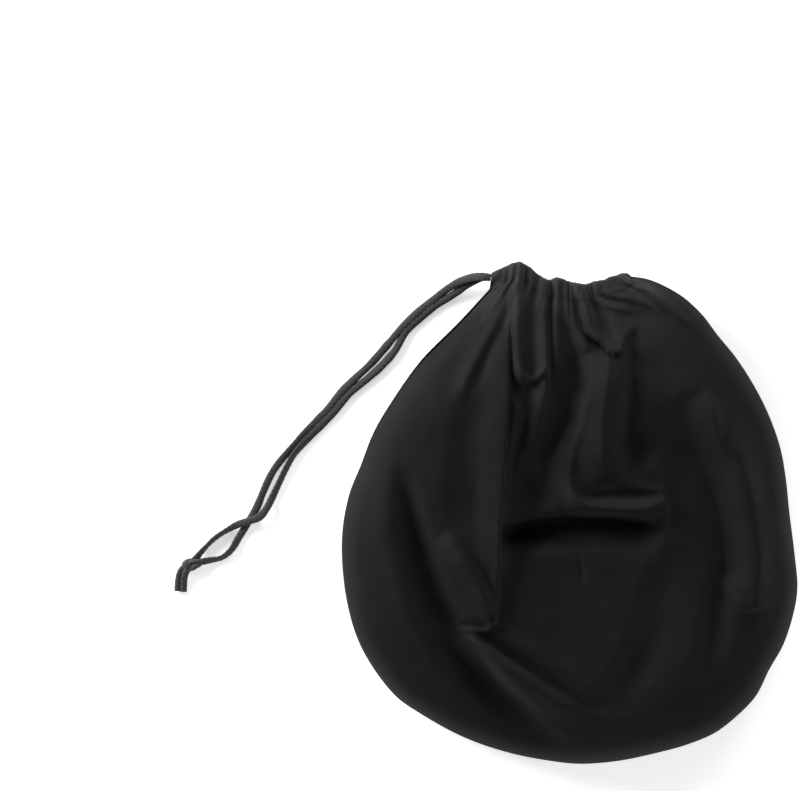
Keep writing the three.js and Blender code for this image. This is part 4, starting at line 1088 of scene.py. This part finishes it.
@dataclass
class Casing:
    """The gathered hem round the mouth, folded over the drawstring and stitched down."""

    pattern: BagPattern
    steps: int = 330
    corner_steps: int = 14
    section: list[tuple[float, float, float]] = field(default_factory=lambda: [
        (0.0, 0.0, 0.0), (0.5, 0.55, 0.55), (1.6, 0.83, 0.83), (3.4, 0.97, 0.97), (5.6, 1.0, 1.0),
        (8.4, 1.0, 0.95), (11.2, 0.98, 0.85), (13.8, 0.96, 0.70), (16.0, 0.93, 0.4), (17.6, 0.86, -0.2),
        (18.6, 0.72, -0.8)])
    hollow: float = 0.62
    end_pinch: float = 0.7
    pinch_parts: float = 14.0
    pinch_start: float = 7.0
    pinch_fade: float = 9.0
    wall_inset: float = 2.2
    scallop_height: float = 0.42
    scallop_shift: float = 0.013
    end_parts: float = 9.0
    girth: float = 40.0
    stitch_column: int = 7
    stitch_margin: int = 4
    stitch_rise: float = 0.12

    def stations(self) -> list[tuple[np.ndarray, np.ndarray, np.ndarray, float, float]]:
        """The places where the casing is cut across.

        Returns:
            For each, the edge of the mouth, the way down, the way outwards, the side's sign and the
            share along the mouth.
        """
        shares = np.linspace(0, 1, self.steps + 1)
        edge, down = self.pattern.lip(shares)
        lift = self.pattern.lift(shares)
        ruffle = self.pattern.ruffle(shares)
        under = self.pattern.under_ruffle * ruffle
        rows = []
        for i, share in enumerate(shares):
            place = np.array([*edge[i], self.pattern.seam_height + lift[i] + ruffle[i]])
            rows.append((place, np.array([*down[i], 0.0]), np.array([0.0, 0.0, 1.0]), 1.0, share))
        hinge = np.array([*edge[-1], self.pattern.seam_height])
        way = np.array([*down[-1], 0.0])
        aside = np.cross([0.0, 0.0, 1.0], way)
        for i in range(1, self.corner_steps):
            turn = math.pi * i / self.corner_steps
            outward = np.array([0.0, 0.0, math.cos(turn)]) + aside * math.sin(turn)
            rows.append((hinge + outward * lift[-1], way, outward, math.cos(turn), 1.0))
        for i in range(self.steps, -1, -1):
            place = np.array([*edge[i], self.pattern.seam_height - lift[i] + under[i]])
            rows.append((place, np.array([*down[i], 0.0]), np.array([0.0, 0.0, -1.0]), -1.0, shares[i]))
        return rows

    def rings(self, thickness: float) -> np.ndarray:
        """The section at each station.

        Args:
            thickness: the share of the full section's thickness.

        Returns:
            Points, stations by section points by three.
        """
        upper = [(depth, outside) for depth, outside, _ in self.section]
        loop = upper + [(depth, -inside) for depth, _, inside in self.section[-1:0:-1]]
        inset = (1 - thickness) * self.wall_inset
        deepest = self.section[-1][0]
        stations = self.stations()
        place, down, outward = (np.array([row[k] for row in stations])[:, None] for k in range(3))
        signs = np.array([sign for _, _, _, sign, _ in stations])[:, None]
        shares = np.array([share for *_, share in stations])[:, None]
        depth = np.array([row[0] for row in loop])[None]
        half = np.array([row[1] for row in loop])[None] * self.pattern.casing_thick / 2 * thickness
        reach = self.pattern.casing_reach(shares)
        half = half * reach
        held = (inset + depth * (deepest - 2 * inset) / deepest) * reach
        closing = self.end_pinch * ease(1 - shares * self.pinch_parts)
        closing = closing * ease((depth - self.pinch_start) / self.pinch_fade)
        half = half * (1 - closing)
        scallop = self.scallop_height * self.pattern.ruffle(shares + self.scallop_shift)
        scallop = scallop * (1 - depth / deepest)
        rings = place + down * (held - scallop)[..., None] + outward * half[..., None]
        fold = self.pattern.folds_at(rings[..., 0], rings[..., 1]) * self.pattern.mouth_fold_share
        ends = ease(shares * self.end_parts) * ease((1 - shares) * self.end_parts)
        rings[..., 2] += fold * np.clip(signs, 0, 1) * ends
        rings[..., 2] -= closing * self.pattern.lift(shares) * outward[:, :, 2]
        return rings

    def build(self, name: str, material: bpy.types.Material) -> bpy.types.Object:
        """Builds the casing as a hollow band, open where the cord leaves it.

        Args:
            name: the piece's name.
            material: the cloth.

        Returns:
            The casing's object.
        """
        outer, inner = self.rings(1.0), self.rings(self.hollow)
        count, sides = outer.shape[:2]
        faces = grid_faces(count, sides, 0, wrap=True)
        faces += [tuple(reversed(face)) for face in grid_faces(count, sides, count * sides, wrap=True)]
        last = (count - 1) * sides
        for i in range(sides):
            after = (i + 1) % sides
            faces.append((after, i, count * sides + i, count * sides + after))
            faces.append((last + i, last + after, count * sides + last + after, count * sides + last + i))
        way = lengths_along(outer[:, 4])
        around = np.linspace(0, self.girth, sides, endpoint=False)
        uv = np.stack(np.meshgrid(way, around, indexing="ij"), axis=-1).reshape(-1, 2) * MM
        points = np.concatenate([outer.reshape(-1, 3), inner.reshape(-1, 3)])
        return make_piece(name, points, faces, material, np.concatenate([uv, uv]))

    def cord_line(self) -> np.ndarray:
        """The line of the drawstring inside the casing."""
        rings = self.rings(self.hollow)
        return rings[:, [3, -3]].mean(axis=1)[::4]

    def stitch_path(self) -> np.ndarray:
        """The line of stitches along the casing's lower edge, on the front."""
        rings = self.rings(1.0)
        row = rings[self.stitch_margin : self.steps - self.stitch_margin, self.stitch_column]
        return row + np.array([0.0, 0.0, self.stitch_rise])


# Braided cords


@dataclass
class Braid:
    """A soft flat braid, with its yarns raised on its surface."""

    width: float = 7.4
    thick: float = 3.6
    yarn_height: float = 0.27
    plait: float = 5.2
    sides: int = 28
    step: float = 0.8
    floor_gap: float = 0.12
    width_sway: float = 0.07
    thick_sway: float = 0.06
    flatness: float = 0.85
    girth_share: float = 1.6
    end_yarn: float = 0.3

    def build(
        self,
        name: str,
        path: Sequence[Sequence[float]],
        twists: Sequence[tuple[float, float]],
        material: bpy.types.Material,
    ) -> tuple[bpy.types.Object, np.ndarray]:
        """Builds a cord along a path.

        Args:
            name: the piece's name.
            path: the points that it follows, in millimetres.
            twists: rows of share along it and turn about its own line, in degrees.
            material: its finish.

        Returns:
            The cord's object and the line that it follows.
        """
        line = smooth_line(path, 12)
        total = lengths_along(line)[-1]
        count = max(8, int(total / self.step))
        shares = np.linspace(0, 1, count + 1)
        line = along(line, shares)
        turn = np.radians(np.interp(shares, [s for s, _ in twists], [d for _, d in twists]))
        way = shares * total
        half_width = self.width / 2 * (1 + self.width_sway * soft_noise(way, shares * 0, cell=9.0, seed=21))
        half_thick = self.thick / 2 * (1 + self.thick_sway * soft_noise(way, shares * 0, cell=7.0, seed=22))
        half_height = np.hypot(half_width * np.sin(turn), half_thick * np.cos(turn))
        line[:, 2] = np.maximum(line[:, 2], half_height + self.yarn_height + self.floor_gap)
        ways = np.gradient(line, axis=0)
        ways /= np.linalg.norm(ways, axis=1, keepdims=True)
        level = np.cross(ways, [0.0, 0.0, 1.0])
        level /= np.linalg.norm(level, axis=1, keepdims=True)
        up = np.cross(level, ways)
        broad = level * np.cos(turn)[:, None] + up * np.sin(turn)[:, None]
        flat = up * np.cos(turn)[:, None] - level * np.sin(turn)[:, None]
        around = 2 * np.pi * np.arange(self.sides) / self.sides
        yarns = self.yarns(way, around)
        spread = np.sign(np.cos(around)) * np.abs(np.cos(around)) ** self.flatness
        sideways = (half_width[:, None] + self.yarn_height * yarns) * spread
        upwards = (half_thick[:, None] + self.yarn_height * yarns) * np.sin(around)
        body = line[:, None] + broad[:, None] * sideways[..., None]
        body = body + flat[:, None] * upwards[..., None]
        faces = grid_faces(count + 1, self.sides, 0, wrap=True)
        points = np.concatenate([body.reshape(-1, 3), line[:1], line[-1:]])
        size = (count + 1) * self.sides
        for i in range(self.sides):
            after = (i + 1) % self.sides
            faces.append((after, i, size))
            faces.append((count * self.sides + i, count * self.sides + after, size + 1))
        girth = around / (2 * np.pi) * (self.width + self.thick) * self.girth_share
        uv = np.stack(np.meshgrid(way, girth, indexing="ij"), axis=-1).reshape(-1, 2) * MM
        uv = np.concatenate([uv, uv[:1], uv[-1:]])
        piece = make_piece(name, points, faces, material, uv)
        carry = piece.data.attributes.new("yarn", "FLOAT", "POINT")
        ends = [self.end_yarn, self.end_yarn]
        carry.data.foreach_set("value", np.concatenate([yarns.ravel(), ends]).astype(np.float32))
        return piece, line

    def yarns(self, way: np.ndarray, around: np.ndarray) -> np.ndarray:
        """The height of the crossing yarns, from 0 to 1.

        Args:
            way: places along the cord.
            around: angles about it.

        Returns:
            Heights, places by angles.
        """
        s, a = np.meshgrid(way, around, indexing="ij")
        turn = s * 2 * np.pi / self.plait
        right = np.sin(2 * a + turn)
        left = np.sin(2 * a - turn)
        over = 0.5 + 0.5 * np.sin(4 * a) * np.sin(2 * turn)
        height = (right * over + left * (1 - over)) * 0.5 + 0.5
        return np.clip(height, 0, 1) ** 0.8


@dataclass
class FreeCord:
    """The two free strands of the drawstring, the knot that joins them and its two ends."""

    braid: Braid = field(default_factory=Braid)
    tail_braid: Braid = field(default_factory=lambda: Braid(width=6.3, thick=3.4, sides=22))
    knot_place: tuple[float, float] = (-378.6, -53.0)
    knot_turn: float = 10.0
    knot_size: tuple[float, float, float] = (22.0, 13.0, 10.0)
    knot_parts: int = 151
    knot_sides: int = 18
    knot_swing: float = 0.42
    knot_weave: float = 0.62
    knot_tube: float = 0.72
    knot_yarn: float = 0.055
    knot_plaits: float = 5.0
    knot_gap: float = 0.1
    tail_twist: float = 25.0
    upper: Path = field(default_factory=lambda: [
        (-78.9, 234.4, 22.3), (-87.0, 235.3, 22.3), (-97.0, 234.8, 17.5), (-107.5, 231.6, 10.5),
        (-117.5, 226.4, 5.0), (-127.0, 219.8, 2.3), (-137.0, 211.6, 2.1), (-152.5, 199.4, 2.1),
        (-168.0, 184.2, 2.1), (-183.0, 166.4, 2.1), (-198.5, 148.8, 2.1), (-213.8, 134.4, 2.1),
        (-227.0, 121.6, 2.1), (-242.4, 102.2, 2.1), (-257.6, 86.6, 2.1), (-270.0, 73.6, 2.1),
        (-279.6, 62.4, 2.1), (-291.2, 48.8, 2.1), (-299.0, 37.0, 2.1), (-306.8, 20.0, 2.1),
        (-313.2, 4.5, 2.1), (-321.6, -10.0, 2.1), (-331.0, -25.5, 2.1), (-339.4, -39.0, 2.1),
        (-348.6, -46.2, 2.3), (-358.0, -48.3, 3.4), (-367.5, -50.0, 4.8), (-372.5, -51.0, 5.0)])
    lower: Path = field(default_factory=lambda: [
        (-78.9, 234.4, 13.7), (-87.0, 234.8, 13.7), (-96.0, 231.0, 10.6), (-104.8, 226.0, 6.4),
        (-113.4, 219.8, 3.4), (-123.3, 213.3, 2.1), (-134.4, 206.6, 2.1), (-148.9, 194.7, 2.1),
        (-163.6, 181.0, 2.1), (-174.2, 162.2, 2.1), (-187.4, 147.0, 2.1), (-203.0, 132.8, 2.1),
        (-220.4, 118.8, 2.1), (-237.4, 98.4, 2.1), (-253.2, 82.2, 2.1), (-265.8, 69.4, 2.1),
        (-276.2, 57.0, 2.1), (-283.6, 44.0, 2.1), (-291.0, 28.6, 2.1), (-297.6, 14.6, 2.6),
        (-303.6, 3.0, 5.0), (-311.0, -5.6, 6.4), (-321.5, -9.4, 6.6), (-331.5, -12.6, 5.0),
        (-343.0, -18.6, 2.6), (-355.0, -26.4, 2.3), (-365.0, -36.0, 3.2), (-373.4, -45.9, 4.8),
        (-377.0, -50.0, 5.0)])
    upper_twist: list[tuple[float, float]] = field(default_factory=lambda: [
        (0.0, 0), (0.10, 0), (0.22, -8), (0.34, 0), (0.46, -6), (0.56, 10), (0.62, 40), (0.68, 10),
        (0.76, 15), (0.80, 0), (0.86, 0), (0.91, 45), (0.95, 55), (1.0, 10)])
    lower_twist: list[tuple[float, float]] = field(default_factory=lambda: [
        (0.0, 0), (0.10, -5), (0.22, 0), (0.34, -12), (0.42, -10), (0.50, 0), (0.58, 10), (0.64, 45),
        (0.72, 35), (0.79, 0), (0.85, 0), (0.90, 60), (0.95, 68), (1.0, 20)])
    tails: dict[str, Path] = field(default_factory=lambda: {
        "tail_a": [(-384.5, -54.5, 4.0), (-388.6, -58.4, 2.6), (-391.0, -64.0, 2.1),
                   (-392.2, -71.5, 2.1), (-392.9, -79.8, 2.1)],
        "tail_b": [(-380.5, -56.2, 6.6), (-384.2, -60.6, 6.0), (-385.8, -66.0, 4.4),
                   (-386.4, -73.0, 2.5), (-386.6, -80.6, 2.1)]})

    def build_knot(self, material: bpy.types.Material) -> bpy.types.Object:
        """Builds the overhand knot: the cord wound round itself, drawn tight.

        Args:
            material: the cord's finish.

        Returns:
            The knot's object.
        """
        sides = self.knot_sides
        turns = np.linspace(0, 2 * np.pi, self.knot_parts)
        radius = 1.0 + self.knot_swing * np.cos(3 * turns)
        height = self.knot_weave * np.sin(3 * turns)
        line = np.stack([radius * np.cos(2 * turns), radius * np.sin(2 * turns), height], axis=-1)
        ways = np.gradient(line, axis=0)
        ways[0] = ways[-1] = line[1] - line[-2]
        ways /= np.linalg.norm(ways, axis=1, keepdims=True)
        level = np.cross(ways, [0.0, 0.0, 1.0])
        level /= np.linalg.norm(level, axis=1, keepdims=True)
        up = np.cross(level, ways)
        around = 2 * np.pi * np.arange(sides) / sides
        yarns = self.braid.yarns(lengths_along(line) * self.knot_plaits, around)
        reach = self.knot_tube + self.knot_yarn * yarns
        body = line[:, None] + level[:, None] * (reach * np.cos(around))[..., None]
        body = (body + up[:, None] * (reach * np.sin(around))[..., None])[:-1]
        half = np.array(self.knot_size) / 2
        body = body / np.abs(body).reshape(-1, 3).max(axis=0) * half
        rings = body.shape[0]
        faces = []
        for j in range(rings):
            for i in range(sides):
                after, onward = (i + 1) % sides, (j + 1) % rings
                here, there = j * sides, onward * sides
                faces.append((here + i, here + after, there + after, there + i))
        turn = math.radians(self.knot_turn)
        sine, cosine = math.sin(turn), math.cos(turn)
        spin = np.array([[cosine, sine, 0], [-sine, cosine, 0], [0, 0, 1]])
        points = body.reshape(-1, 3) @ spin + np.array([*self.knot_place, half[2] + self.knot_gap])
        piece = make_piece("end_knot_wound", points, faces, material)
        carry = piece.data.attributes.new("yarn", "FLOAT", "POINT")
        carry.data.foreach_set("value", yarns[:-1].ravel().astype(np.float32))
        return piece

    def build(self, material: bpy.types.Material) -> list[bpy.types.Object]:
        """Args:
            material: the cord's finish.

        Returns:
            Its pieces.
        """
        knot = self.build_knot(material)
        dress(knot, Slot.CORD, "end_knot")
        pieces = [knot]
        for name, path in self.tails.items():
            twists = [(0.0, 0), (1.0, self.tail_twist)]
            tail, _ = self.tail_braid.build(f"{name}_braid", path, twists, material)
            dress(tail, Slot.CORD, name)
            pieces.append(tail)
        strands = (
            ("strand_left", self.upper, self.upper_twist, pieces[:]),
            ("strand_right", self.lower, self.lower_twist, [knot]),
        )
        for node, path, twists, carried in strands:
            strand, line = self.braid.build(f"{node}_braid", path, twists, material)
            dress(strand, Slot.CORD, node)
            pieces.append(strand)
        return pieces


# Stitches by geometry nodes


@dataclass
class StitchRow:
    """A row of lockstitches laid along a line by a node tree."""

    length: float = 2.3
    pitch: float = 3.1
    thread: float = 0.36
    seed: int = 7
    jitter: float = 0.10
    ball_segments: int = 6
    ball_rings: int = 4

    def tree(self, material: bpy.types.Material) -> bpy.types.GeometryNodeTree:
        """Builds the node tree.

        Args:
            material: the thread.

        Returns:
            The tree, with inputs for the stitch's length, pitch and thickness.
        """
        tree = bpy.data.node_groups.new("stitch_row", "GeometryNodeTree")
        panel = tree.interface
        panel.new_socket("Geometry", in_out="INPUT", socket_type="NodeSocketGeometry")
        for name, value in (
            ("Stitch Length", self.length * MM),
            ("Stitch Pitch", self.pitch * MM),
            ("Thread Thickness", self.thread * MM),
        ):
            socket = panel.new_socket(name, in_out="INPUT", socket_type="NodeSocketFloat")
            socket.default_value = value
        panel.new_socket("Geometry", in_out="OUTPUT", socket_type="NodeSocketGeometry")
        nodes, links = tree.nodes, tree.links
        start, end = nodes.new("NodeGroupInput"), nodes.new("NodeGroupOutput")
        curve = nodes.new("GeometryNodeMeshToCurve")
        points = nodes.new("GeometryNodeCurveToPoints")
        points.mode = "LENGTH"
        ball = nodes.new("GeometryNodeMeshUVSphere")
        ball.inputs["Segments"].default_value = self.ball_segments
        ball.inputs["Rings"].default_value = self.ball_rings
        ball.inputs["Radius"].default_value = 0.5
        size = nodes.new("ShaderNodeCombineXYZ")
        wobble = nodes.new("FunctionNodeRandomValue")
        wobble.data_type = "FLOAT"
        bounds = (1 - self.jitter, 1 + self.jitter)
        for socket, value in zip([s for s in wobble.inputs if s.type == "VALUE"], bounds):
            socket.default_value = value
        wobble.inputs["Seed"].default_value = self.seed
        stretch = nodes.new("ShaderNodeMath")
        stretch.operation = "MULTIPLY"
        place = nodes.new("GeometryNodeInstanceOnPoints")
        real = nodes.new("GeometryNodeRealizeInstances")
        finish = nodes.new("GeometryNodeSetMaterial")
        finish.inputs["Material"].default_value = material
        links.new(start.outputs["Geometry"], curve.inputs["Mesh"])
        links.new(curve.outputs["Curve"], points.inputs["Curve"])
        links.new(start.outputs["Stitch Pitch"], points.inputs["Length"])
        links.new(points.outputs["Points"], place.inputs["Points"])
        links.new(points.outputs["Rotation"], place.inputs["Rotation"])
        links.new(ball.outputs["Mesh"], place.inputs["Instance"])
        links.new(start.outputs["Stitch Length"], stretch.inputs[0])
        links.new([s for s in wobble.outputs if s.type == "VALUE"][0], stretch.inputs[1])
        links.new(start.outputs["Thread Thickness"], size.inputs["X"])
        links.new(start.outputs["Thread Thickness"], size.inputs["Y"])
        links.new(stretch.outputs[0], size.inputs["Z"])
        links.new(size.outputs["Vector"], place.inputs["Scale"])
        links.new(place.outputs["Instances"], real.inputs["Geometry"])
        links.new(real.outputs["Geometry"], finish.inputs["Geometry"])
        links.new(finish.outputs["Geometry"], end.inputs["Geometry"])
        return tree

    def sew(self, name: str, line: np.ndarray, material: bpy.types.Material) -> bpy.types.Object:
        """Sews a row along a line.

        Args:
            name: the piece's name.
            line: the line's points in millimetres.
            material: the thread.

        Returns:
            The stitches as one plain mesh.
        """
        guide_mesh = bpy.data.meshes.new(f"{name}_guide")
        edges = [(i, i + 1) for i in range(len(line) - 1)]
        guide_mesh.from_pydata((line * MM).tolist(), edges, [])
        guide = bpy.data.objects.new(f"{name}_guide", guide_mesh)
        bpy.context.scene.collection.objects.link(guide)
        tree = self.tree(material)
        modifier = guide.modifiers.new("stitches", "NODES")
        modifier.node_group = tree
        wanted = {"Stitch Length": self.length, "Stitch Pitch": self.pitch, "Thread Thickness": self.thread}
        for item in tree.interface.items_tree:
            if item.item_type == "SOCKET" and item.in_out == "INPUT" and item.name in wanted:
                modifier[item.identifier] = wanted[item.name] * MM
        bpy.context.view_layer.update()
        graph = bpy.context.evaluated_depsgraph_get()
        mesh = bpy.data.meshes.new_from_object(guide.evaluated_get(graph))
        mesh.name = name
        bpy.data.objects.remove(guide)
        bpy.data.meshes.remove(guide_mesh)
        mesh.shade_smooth()
        piece = bpy.data.objects.new(name, mesh)
        bpy.context.scene.collection.objects.link(piece)
        return piece


# Studio


@dataclass
class Studio:
    """The pale floor, the soft lights and the camera above the bag."""

    centre: tuple[float, float] = (-0.16965, 0.1165)
    view_width: float = 0.800
    view_level: float = 0.018
    distance: float = 5.0
    sensor: float = 36.0
    floor_size: float = 7.0
    room_light: float = 0.14
    # Each light's name, place, side and power
    lights: tuple[tuple[str, tuple[float, float, float], float, float], ...] = (
        ("key", (-2.6, 1.45, 0.86), 1.3, 178.0),
        ("back", (1.1, 2.6, 0.9), 1.4, 62.0),
        ("fill", (2.6, -0.6, 1.0), 1.4, 28.0),
        ("low", (0.3, -2.7, 0.9), 1.4, 36.0),
    )

    def set_camera(self) -> None:
        """Places the camera straight above the middle of the view."""
        data = bpy.data.cameras.new("camera")
        data.sensor_width = self.sensor
        data.lens = self.sensor * self.distance / self.view_width
        data.clip_end = 50.0
        camera = bpy.data.objects.new("camera", data)
        camera.location = (*self.centre, self.view_level + self.distance)
        bpy.context.scene.collection.objects.link(camera)
        bpy.context.scene.camera = camera

    def add_light(self, name: str, place: tuple[float, float, float], size: float, watts: float) -> None:
        """Adds a square soft light that faces the bag.

        Args:
            name: its name.
            place: where it stands, in metres.
            size: its side.
            watts: its power.
        """
        data = bpy.data.lights.new(name, "AREA")
        data.shape = "SQUARE"
        data.size = size
        data.energy = watts
        lamp = bpy.data.objects.new(name, data)
        lamp.location = place
        lamp.rotation_euler = (Vector(place) * -1.0).to_track_quat("-Z", "Y").to_euler()
        bpy.context.scene.collection.objects.link(lamp)

    def build(self) -> None:
        """Builds the floor and the lights."""
        half = self.floor_size / 2
        mesh = bpy.data.meshes.new("floor")
        corners = [(-half, -half, 0), (half, -half, 0), (half, half, 0), (-half, half, 0)]
        mesh.from_pydata(corners, [], [(0, 1, 2, 3)])
        mesh.materials.append(PaleFloor().build("pale_floor"))
        floor = bpy.data.objects.new("floor", mesh)
        bpy.context.scene.collection.objects.link(floor)
        floor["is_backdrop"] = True
        for name, place, size, watts in self.lights:
            self.add_light(name, place, size, watts)
        world = bpy.data.worlds.new("soft_room")
        world.use_nodes = True
        world.node_tree.nodes["Background"].inputs["Color"].default_value = (1.0, 1.0, 1.0, 1.0)
        world.node_tree.nodes["Background"].inputs["Strength"].default_value = self.room_light
        bpy.context.scene.world = world
        bpy.context.scene.view_settings.view_transform = "Standard"


def dress(piece: bpy.types.Object, slot: Slot, *nodes: str) -> None:
    """Fastens a piece to the bag's body and hides the CAD nodes that it stands for."""
    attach(piece, ROOT)
    if nodes:
        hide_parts(*nodes)


def report(piece: bpy.types.Object) -> None:
    """Logs a piece and how many faces it has."""
    log.info("%s: %d faces", piece.name, len(piece.data.polygons))


def main() -> None:
    """Builds the camera and the cords, then the cloth, the stitches and the studio."""
    logging.basicConfig(level=logging.INFO, format="%(name)s %(message)s")
    cad_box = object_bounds()
    studio = Studio()
    studio.set_camera()
    cloth = WovenCloth().build("black_cloth")
    cord = BraidedCord().build("grey_braid")
    thread = SewingThread().build("black_thread")
    for piece in FreeCord().build(cord):
        report(piece)
    pattern = BagPattern()
    front = ClothPanel(pattern, Side.FRONT, columns=280, rows=260).build("front_cloth", cloth)
    dress(front, Slot.CLOTH, "front_panel")
    back = ClothPanel(pattern, Side.BACK, columns=160, rows=150, thinning=5).build("back_cloth", cloth)
    dress(back, Slot.CLOTH, "back_panel")
    casing = Casing(pattern)
    hem = casing.build("gathered_casing", cloth)
    dress(hem, Slot.CLOTH, "hem_channel")
    inner_cord, _ = Braid(width=5.4, thick=2.9, sides=14, step=2.0).build(
        "drawstring_in_casing", casing.cord_line(), [(0.0, 0), (1.0, 0)], cord
    )
    dress(inner_cord, Slot.CORD, "drawstring_loop")
    stitches = StitchRow().sew("casing_stitches", casing.stitch_path(), thread)
    dress(stitches, Slot.CLOTH)
    for piece in (front, back, hem, inner_cord, stitches):
        report(piece)
    studio.build()
    {"cad": [list(corner) for corner in cad_box], "visual": [list(c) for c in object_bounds()]}


if __name__ == "__main__":
    main()
